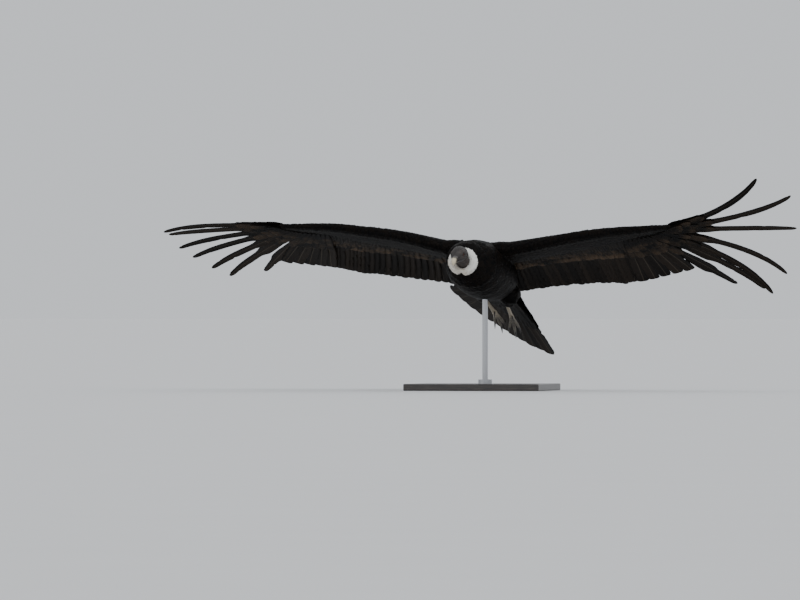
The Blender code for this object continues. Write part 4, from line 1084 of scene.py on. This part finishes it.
def headSkin():
    # Bare head and neck as one closed skin: brow, lids, cheek and neck folds, ear, mouth line and nostrils
    rng = np.random.default_rng(5)
    ahead, side, up = headAxes()
    neckRows, columns = head["neckRows"], head["columns"]
    rows = head["skinRows"] + neckRows
    table = np.array(head["rows"])
    s = np.linspace(head["back"], head["front"], head["skinRows"])
    wide, top, bottom, middle = curveAt(table, np.interp(s, table[:, 0], range(len(table))))[:, 1:].T
    turn = fullTurn(columns)
    c, h = np.cos(turn), np.sin(turn)
    high = np.where(h > 0, top[:, None], bottom[:, None]) * h
    skull = atHead(np.repeat(s[:, None], columns, 1), wide[:, None] * c, middle[:, None] + high)

    # neck, from inside the body up to the back of the skull
    start = head["neckStart"]
    end = atHead(s[0], 0.0, middle[0])
    path = np.array((start, start + (0, -0.066, 0), end - ahead * 0.014, end))
    f = np.linspace(0, 1, neckRows, endpoint=False)[:, None]
    spine = path[0] * (1 - f) ** 3 + path[1] * 3 * f * (1 - f) ** 2
    spine = spine + path[2] * 3 * f * f * (1 - f) + path[3] * f ** 3
    normal = unit(np.array((0, -1.0, 0)) * (1 - f) + ahead * f)
    rise = unit(np.array((0, 0, 1.0)) - normal * normal[:, 2:3])
    across = -np.cross(rise, normal)
    across = across * np.sign(across[:, :1] * side[0] + 1e-9)
    neckWide, neckHigh = (head["neckRadius"] + (end - head["neckRadius"]) * f for end in (wide[0], top[0]))
    ring = across[:, None] * (neckWide * c[None])[..., None] + rise[:, None] * (neckHigh * h[None])[..., None]
    points = np.concatenate([spine[:, None] + ring, skull])
    away = np.concatenate([unit(ring), unit(skull - atHead(s, 0 * s, middle)[:, None])])
    run = np.concatenate([head["back"] - (1 - f[:, 0]) * 0.10, s])[:, None]
    run = np.repeat(run, columns, 1)
    angle = np.repeat(turn[None], rows, 0)
    flat = np.stack([run * 60, np.cos(angle) * 1.8, np.sin(angle) * 1.8], -1)
    sideWay, topWay = np.abs(np.cos(angle)), np.sin(angle)
    onHead = smoothStep(-0.055, -0.035, run)
    onNeck = 1 - onHead
    bend = waves(rng, flat, 9, 0.6, 1.6)

    # rings of slack skin round the neck, lengthwise folds on the crown, creases behind the cheek
    folds = np.sin(run * 430 + 2.2 * bend + 1.1 * np.sin(angle * 2 + run * 90))
    folds += 0.5 * np.sin(run * 900 + 3.0 * bend)
    uneven = 0.55 + 0.45 * np.sin(angle * 3 + run * 130)
    lift = onNeck * skinDepth["neck"] * folds * smoothStep(-0.15, -0.12, run) * uneven
    crown = smoothStep(0.035, 0.0, run) * smoothStep(-0.25, 0.55, topWay)
    lift += onHead * crown * skinDepth["crown"] * np.sin(angle * 21 + 2.4 * bend)
    nape = smoothStep(0.02, -0.012, run) * smoothStep(0.45, 0.85, sideWay)
    lift += onHead * nape * skinDepth["nape"] * np.sin(topWay * 17 + 2.0 * bend + run * 60)
    lift += skinDepth["fine"] * waves(rng, flat, 26, 5.0, 16.0) * smoothStep(0.047, 0.036, run)

    # brow over the eye, pouch and small wrinkles under and round it
    eyeRun, eyeOut, eyeHigh = head["eye"]
    tall = np.einsum("ijk,k->ij", points - head["place"], up)
    eyeAhead, eyeUp = run - eyeRun, tall - eyeHigh
    far = np.hypot(eyeAhead, eyeUp * 1.15)
    facing = smoothStep(0.30, 0.55, sideWay)
    face = facing * (run > -0.045)
    brow = eyeUp - 0.0088 + 1.2 * eyeAhead ** 2 / 0.02
    lift += face * skinDepth["brow"] * ridge(brow, 0.0026) * ridge(eyeAhead + 0.001, 0.016)
    lift += face * skinDepth["pouch"] * ridge(far - 0.0150, 0.0018) * smoothStep(0.0, -0.006, eyeUp)
    lift += face * skinDepth["lid"] * ridge(far - 0.0108, 0.0016)
    spokes = np.sin(np.arctan2(eyeUp, eyeAhead) * 16 + bend)
    lift += face * skinDepth["wrinkle"] * spokes * ridge(far - 0.0150, 0.0045)

    # ear behind the eye
    ear = np.hypot(run + 0.022, (tall + 0.001) * 0.8)
    lift += facing * skinDepth["earRim"] * ridge(ear - 0.0052, 0.0020)
    lift -= facing * skinDepth["ear"] * smoothStep(0.0046, 0.0004, ear + 0.0008 * bend)

    # mouth line, nostril in the cere, and a fold down the middle of the throat
    mouth = tall + 0.0072 + smoothStep(0.04, 0.014, run) * 0.0035
    inMouth = smoothStep(0.010, 0.018, run) * facing
    lift -= inMouth * skinDepth["mouth"] * ridge(mouth, 0.0007)
    lips = ridge(mouth - 0.0022, 0.0013) + ridge(mouth + 0.0022, 0.0013)
    lift += inMouth * skinDepth["lip"] * lips
    nostril = np.hypot((run - 0.041) * 0.75, (tall - 0.0045 - (run - 0.041) * 0.3) * 1.5)
    cere = smoothStep(0.35, 0.6, sideWay)
    rim = skinDepth["nostrilRim"] * ridge(nostril - 0.0040, 0.0010)
    lift += cere * (rim - skinDepth["nostril"] * smoothStep(0.0032, 0.0016, nostril))
    throat = onHead * skinDepth["throat"] * ridge((angle - 1.5 * np.pi) / 0.22, 1.0)
    lift += throat * smoothStep(0.036, 0.010, run)
    points = points + away * lift[..., None]

    # the eye's hollow takes the skin in past the eyeball
    hollow = face * smoothStep(0.0100, 0.0070, far)
    for sign in (-1, 1):
        inner = atHead(eyeRun, sign * (eyeOut - 0.004), eyeHigh)
        share = (hollow * (np.cos(angle) * sign > 0))[..., None]
        points = points * (1 - share) + (inner + (points - inner) * 0.25) * share
    # painted shade: this value is highest where the skin lies in and round the eye's hollow, and the skin's
    # finish paints these places darker
    creaseShade = np.clip(-lift * 700, 0, 1) + 0.6 * smoothStep(0.0105, 0.0085, far) * facing
    cheek = smoothStep(-0.02, 0.0, run) * smoothStep(0.040, 0.02, run) * facing
    warmth = 0.7 * cheek * ridge(far - 0.016, 0.012)
    warmth = warmth + 0.55 * onNeck + 0.5 * ridge((angle - 1.5 * np.pi) / 0.5, 1.0) * onHead
    index = np.arange(rows * columns).reshape(rows, columns)
    after = np.roll(index, -1, 1)
    quads = np.stack([index[:-1], after[:-1], after[1:], index[1:]], -1).reshape(-1, 4)
    ob = meshFrom("headSkin", points.reshape(-1, 3), quads.tolist() + [index[0].tolist(), index[-1].tolist()])
    putValues(ob, "creaseShade", np.clip(creaseShade, 0, 1))
    putValues(ob, "warmth", np.clip(warmth, 0, 1))
    return ob


def lids():
    # Three almond-shaped lid rims round each eye, from the edge of the lid outwards
    ahead, out, high = head["eye"]
    ball = head["eyeRadius"] + 0.0006
    turn = fullTurn(40)
    round8 = fullTurn(8)[:, None]
    pieces = []
    for sign in (-1, 1):
        for radius, thick, proud in head["lidRims"]:
            along = radius * 1.16 * np.cos(turn)
            tall = radius * 0.90 * np.sin(turn) * (1 - 0.12 * np.cos(turn))
            bulge = np.sqrt(np.clip(ball ** 2 - (along * 0.95) ** 2 - tall ** 2, 0.0000065, None))
            path = atHead(ahead + along, sign * (out + bulge + proud), high + tall + 0.0002)
            fore = unit(np.roll(path, -1, 0) - np.roll(path, 1, 0))[:, None]
            away = unit(path - path.mean(0))[:, None]
            ring = path[:, None] + thick * (np.cos(round8) * away + np.sin(round8) * np.cross(fore, away))
            pieces.append(meshFrom("lid", ring.reshape(-1, 3), ringFaces(*ring.shape[:2])))
    ob = join("eyelids", pieces)
    # painted shade: the lid rims get a high crease value, so they are painted in the darker skin colour
    putValues(ob, "creaseShade", np.full(len(ob.data.vertices), 0.75))
    putValues(ob, "warmth", np.full(len(ob.data.vertices), 0.15))
    makeSmooth(ob.data)
    ob.data.materials.append(finishes["bareSkin"])
    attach(ob, "root")


def eyes():
    ahead, out, high = head["eye"]
    forward, left, up = headAxes()
    for sign, name in ((-1, "right"), (1, "left")):
        centre = atHead(ahead, sign * out, high)
        work = bmesh.new()
        bmesh.ops.create_uvsphere(work, u_segments=64, v_segments=40, radius=head["eyeRadius"])
        ob = linked("eye" + name.capitalize(), fromWork("eye", work))
        look = unit(left * sign + forward * 0.22)
        third = unit(np.cross(look, up))
        co = centre + pointsOf(ob) @ np.stack([third, np.cross(look, third), look])
        movePoints(ob, co)
        putValues(ob, "away", np.arccos(np.clip(unit(co - centre) @ look, -1, 1)))
        faceOutwards(ob.data)
        ob.data.materials.append(finishes["eye"])
        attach(ob, "root")
        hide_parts("eye_" + name)


bill = {
    # rings from the face to the tip: place ahead, height, half width, half height, pitch
    "upper": (
        (0.0465, 0.0036, 0.0136, 0.0098, 0.0), (0.0483, 0.0036, 0.0138, 0.0098, 0.0),
        (0.058, 0.0038, 0.0126, 0.0094, 0.03), (0.067, 0.0028, 0.0112, 0.0090, 0.16),
        (0.0755, 0.0002, 0.0095, 0.0085, 0.50), (0.0815, -0.0058, 0.0072, 0.0070, 0.98),
        (0.0835, -0.0130, 0.0044, 0.0044, 1.38), (0.0826, -0.0192, 0.0012, 0.0012, 1.62),
    ),
    "lower": (
        (0.0465, -0.0118, 0.0122, 0.0056, 0.0), (0.0483, -0.0118, 0.0124, 0.0056, 0.0),
        (0.058, -0.0109, 0.0112, 0.0051, 0.0), (0.066, -0.0106, 0.0094, 0.0043, 0.0),
        (0.0728, -0.0112, 0.0058, 0.0022, 0.0),
    ),
    "edge": 0.55,
}


def bills():
    forward, left, up = headAxes()
    turn = fullTurn(48)
    for name in ("upper", "lower"):
        table = np.array(bill[name])
        steps = np.linspace(0, len(table) - 1, 46)
        rings = []
        for s, high, wide, tall, pitch in zip(*curveAt(table[:, :4], steps).T, blendAt(table[:, 4], steps)):
            rise = up * math.cos(pitch) + forward * math.sin(pitch)
            c, h = np.cos(turn), np.sin(turn)
            inner = (h < 0) if name == "upper" else (h > 0)
            power = np.where(inner, bill["edge"], 1.0)
            c, h = np.sign(c) * np.abs(c) ** power, np.sign(h) * np.abs(h) ** power
            keel = 1 + 0.05 * ridge(c / 0.25, 1.0) * (h > 0) * (name == "upper")
            across, raised = left * (wide * c)[:, None], rise * (tall * h * keel)[:, None]
            rings.append(atHead(s, 0.0, high) + across + raised)
        ob = loftRings("bill" + name.capitalize(), rings)
        co = pointsOf(ob) - head["place"]
        hook = np.clip(-(co @ up) - 0.004, 0, 1) * 30 * (name == "upper")
        putValues(ob, "reach", np.clip((co @ forward - 0.047) / 0.036 + hook, 0, 1.4))
        ob.data.materials.append(finishes["bill"])
        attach(ob, "root")
        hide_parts("bill_" + name)


# Ruff of white down round the base of the neck

ruff = {
    "centre": np.array((-0.012, -0.3306, 0.559)), "seed": 21,
    "blade": (0.40, 0.85, 1.0, 0.95, 0.74, 0.34),
    # the ring's own radius, the half width and half depth of its section
    "ring": 0.0465, "wide": 0.0125, "deep": 0.0150,
    # past this radius the ring is squashed in width and height, and notched under the throat
    "neck": 0.030, "squash": (0.88, 0.77), "notch": (0.40, 1.47, 0.17),
    # width and looseness of the broad and the fine plumes; then for each tier where it roots on the
    # section, how far it runs on, how far its tips reach past it and how many plumes of both it has
    "plumes": ((0.0125, 0.05), (0.0052, 0.16)),
    "tiers": ((160, 30, 0.0100, 62, 150), (142, 42, 0.0090, 60, 150), (124, 50, 0.0075, 58, 150),
              (106, 54, 0.0050, 56, 140), (88, 56, 0.0030, 52, 130), (70, 58, 0.0018, 48, 120),
              (50, 60, 0.0012, 44, 110), (28, 62, 0.0008, 38, 95), (6, 64, 0.0004, 40, 100),
              (-18, 66, 0.0, 46, 120), (-38, 66, 0.0, 40, 110)),
    # radius and depth of the pad's section
    "pad": ((0.026, 0.004), (0.050, 0.006), (0.055, -0.002), (0.051, -0.010), (0.043, -0.012),
            (0.036, -0.007), (0.029, 0.000)),
}


def ruffPlace(turn, inner, beyond, front):
    # Places round the ring, from the turn, the radius inside and past the neck's own, and the depth
    depth, middle, wide = ruff["notch"]
    notch = 1 - depth * ridge((turn % (2 * np.pi) - middle * np.pi) / wide, 1.0)
    beyond = beyond * np.where(beyond > 0, notch, 1.0)
    across, tall = (inner + beyond * share for share in ruff["squash"])
    return np.stack(np.broadcast_arrays(across * np.cos(turn), front, tall * np.sin(turn)), -1)


def ruffDown():
    # Broad frayed plumes with finer ones over them, rolling out of the neck over a low padded ring
    batch = Feathers(ruff["seed"])
    draw = batch.draw
    centre = ruff["centre"]
    share = np.linspace(0, 1, 6)
    for root, onward, reach, *counts in ruff["tiers"]:
        for count, (width, loft) in zip(counts, ruff["plumes"]):
            for k in range(count):
                turn = 2 * math.pi * (k + draw.uniform(-0.6, 0.6)) / count
                turns = turn + draw.normal(0, 0.10) * share ** 1.4
                size = draw.uniform(0.62, 1.12)
                roll = np.radians(root + draw.uniform(-9, 9) + onward * size * share)
                over = np.minimum(roll, np.pi)
                grow = 1.0 + (loft + draw.uniform(0, 0.22)) * share
                past = reach * size * share ** 1.2 * draw.uniform(0.75, 1.0)
                hug = 0.0030 * smoothStep(50, 5, np.degrees(roll))
                radius = ruff["ring"] - ruff["wide"] * grow * np.cos(over) + past - hug
                front = -ruff["deep"] * grow * np.sin(over) - 0.002 + 0.004 * past / 0.01 * share
                flat = ruffPlace(turns, ruff["neck"], radius - ruff["neck"], front)
                spine = centre + flat + draw.normal(0, 0.0004, 3)
                along = unit(np.gradient(spine, axis=0))
                swing = np.stack([-np.sin(turns), 0 * turns, np.cos(turns)], -1)
                up = unit(np.cross(swing, along))
                away = flat - unit(flat * (1, 0, 1)) * ruff["ring"]
                up = up * np.where(np.sum(up * away, 1) < 0, -1, 1)[:, None]
                across = unit(np.cross(along, up))
                blade = width * draw.uniform(0.6, 1.1) * np.array(ruff["blade"]) / 2
                batch.add(spine, across, up, blade, blade, thick=0.0004, shaft=0.0006, camber=0.5,
                          columns=2 if width > 0.01 else 1, ragged=0.30, splits=2)
    ob = batch.build("ruffDown", finishes["ruff"])
    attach(ob, "root")
    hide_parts("ruff")

    # a plain padded ring under the plumes
    turn = fullTurn(48)[:, None]
    radius, forward = np.array(ruff["pad"]).T
    neck = ruff["neck"]
    points = centre + ruffPlace(turn, np.minimum(radius, neck), np.maximum(radius - neck, 0), forward)
    pad = meshFrom("ruffPad", points.reshape(-1, 3), ringFaces(*points.shape[:2]))
    pad.data.materials.append(finishes["ruff"])
    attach(pad, "root")


# Feet and claws

feet = {
    # each toe's spread, length, curl and thickness
    "toes": ((-0.34, 0.060, 0.014, 0.0062), (0.0, 0.082, 0.020, 0.0066), (0.34, 0.062, 0.014, 0.0062),
             (2.8, 0.026, 0.012, 0.0050)),
    "clawCurve": ((0.0, 0.0), (0.005, 0.0002), (0.010, 0.0016), (0.015, 0.005), (0.0185, 0.010),
                  (0.020, 0.016)),
    "clawTaper": (0.62, 0.70, 0.68, 0.58, 0.44, 0.26, 0.05),
    "shank": ((0, 0.35, 0.75, 1.0), (0.0080, 0.0072, 0.0075, 0.0105)), "knob": 0.0118, "plate": 0.0055,
    "toeTaper": ((0, 0.3, 0.6, 0.85, 1.0), (1.25, 1.05, 0.97, 0.92, 0.72)),
}


def feetAndClaws():
    for side in (-1, 1):
        name = {-1: "Right", 1: "Left"}[side]
        heel, joint = np.array(body["heels"][side]), np.array(body["feet"][side])
        along = unit(joint - heel)
        start = heel - along * 0.02
        f = np.linspace(0, 1, 60)
        radii = np.interp(f, *feet["shank"]) * (1 + 0.030 * np.sin(f * 2 * np.pi * 20))
        work = bmesh.new()
        bmesh.ops.create_icosphere(work, subdivisions=3, radius=feet["knob"])
        knob = linked("knob", fromWork("knob", work))
        movePoints(knob, pointsOf(knob) + joint)
        pieces = [tube("shank", start + (joint - start) * f[:, None], radii, 24), knob]
        sideWay = unit(np.cross(along, (0, 0, 1)))
        f = np.linspace(0, 1, 44)
        for k, (spread, length, curl, thick) in enumerate(feet["toes"]):
            way = unit(along * math.cos(spread) + sideWay * math.sin(spread))
            path = joint + way * (length * f)[:, None] + np.array((0, 0, -1.0)) * (curl * f ** 2)[:, None]
            plates = 11 if length > 0.05 else 5
            scales = 0.055 * np.abs(np.sin(f * np.pi * plates))
            knuckles = 0.10 * ridge(f - 0.36, 0.05) + 0.10 * ridge(f - 0.70, 0.05)
            radii = thick * np.interp(f, *feet["toeTaper"]) * (1 + scales + knuckles)
            pieces.append(tube("toe", path, radii, 20))
            tip, end = path[-1], unit(path[-1] - path[-2])
            curve = [tip - end * 0.003] + [tip + end * a + np.array((0, 0, -b)) for a, b in feet["clawCurve"]]
            steps = np.linspace(0, len(curve) - 1, 22)
            widths = thick * blendAt(feet["clawTaper"], steps)
            claw = tube(f"claw{name}{k + 1}", curveAt(curve, steps), widths, 18, 1.15)
            claw.data.materials.append(finishes["claw"])
            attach(claw, "root")
            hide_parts(f"claw_{name.lower()}_{k + 1}")
        ob = join("foot" + name, pieces)
        run = (pointsOf(ob) - heel) @ along
        putValues(ob, "plate", 0.5 + 0.5 * np.sin(run * 2 * np.pi / feet["plate"]))
        makeSmooth(ob.data)
        ob.data.materials.append(finishes["foot"])
        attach(ob, "root")
        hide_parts("foot_" + name.lower())


# Stand, floor, lamps and camera

studio = {
    "sky": (0.86, 0.89, 0.93, 1), "skyStrength": 0.84,
    # each lamp's name, place, size in degrees and strength
    "lamps": (("lampKey", (3.0, -4.0, 5.0), 30, 0.95), ("lampFill", (-4.0, -4.0, 1.6), 60, 0.25),
              ("lampBack", (1.5, 5.0, 4.0), 50, 0.30)),
    "camera": (8.650, -39.054, 0.3935), "cameraTurn": 13, "lens": 414.0,
}


def standAndStudio():
    for node, finish in (("stand_base", "stand"), ("stand_collar", "steel"), ("stand_rod", "steel")):
        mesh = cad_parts[node].data
        mesh.materials.clear()
        mesh.materials.append(finishes[finish])
    work = bmesh.new()
    bmesh.ops.create_grid(work, x_segments=2, y_segments=2, size=150)
    floor = linked("floor", fromWork("floor", work))
    floor.data.materials.append(finishes["floor"])

    world = bpy.data.worlds.new("studio")
    bpy.context.scene.world = world
    world.use_nodes = True
    back = world.node_tree.nodes["Background"]
    back.inputs["Color"].default_value = studio["sky"]
    back.inputs["Strength"].default_value = studio["skyStrength"]
    for name, place, wide, strength in studio["lamps"]:
        lamp = bpy.data.lights.new(name, "SUN")
        lamp.angle, lamp.energy = math.radians(wide), strength
        ob = linked(name, lamp)
        ob.location = place
        ob.rotation_euler = (-Vector(place)).to_track_quat("-Z", "Y").to_euler()

    camera = bpy.data.cameras.new("camera")
    camera.lens, camera.sensor_width = studio["lens"], 36
    camera.clip_start, camera.clip_end = 0.1, 400
    ob = linked("camera", camera)
    ob.location = studio["camera"]
    ob.rotation_euler = (math.radians(90), 0, math.radians(studio["cameraTurn"]))
    bpy.context.scene.camera = ob


def oneSkin(skin, bare):
    # The bare head and neck merged into the body's skin, each side keeping its finish
    for ob in (skin, bare):
        ob.data.materials.clear()
        for key in ("underSkin", "bareSkin"):
            ob.data.materials.append(finishes[key])
        ob.data.polygons.foreach_set("material_index", np.full(len(ob.data.polygons), int(ob is bare)))
    for key in ("creaseShade", "warmth"):
        putValues(skin, key, np.zeros(len(skin.data.vertices)))
    merge = skin.modifiers.new("merge", "BOOLEAN")
    merge.object, merge.operation, merge.solver = bare, "UNION", "MANIFOLD"
    plain(skin, "birdSkin")
    bpy.data.objects.remove(bare, do_unlink=True)
    print("scene: one skin of", len(skin.data.vertices), "points")
    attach(skin, "root")
    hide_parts("torso", "head", "neck")


def main():
    makeFinishes()
    print("scene: finishes ready")
    standAndStudio()
    for side in (-1, 1):
        wingFeathers(side)
    tailFeathers()
    print("scene: wings and tail ready")
    skin = bodySkin()
    print("scene: skin has", len(skin.data.vertices), "points")
    dressSkin(skin)
    skin.data.materials.clear()
    skin.data.materials.append(finishes["underSkin"])
    group, feather = coatTree(), smallFeather()
    for name, region, spacing, length, seed in coat["pieces"]:
        growCoat(skin, group, name, Region=region, Spacing=spacing, Length=length, Seed=seed,
                 Lift=coat["lift"], Wild=coat["wild"], Feather=feather, Finish=finishes["coat"])
    bpy.data.objects.remove(feather, do_unlink=True)
    print("scene: coat ready")
    oneSkin(skin, headSkin())
    lids()
    eyes()
    bills()
    ruffDown()
    feetAndClaws()
    print("scene: head, ruff and feet ready")


main()
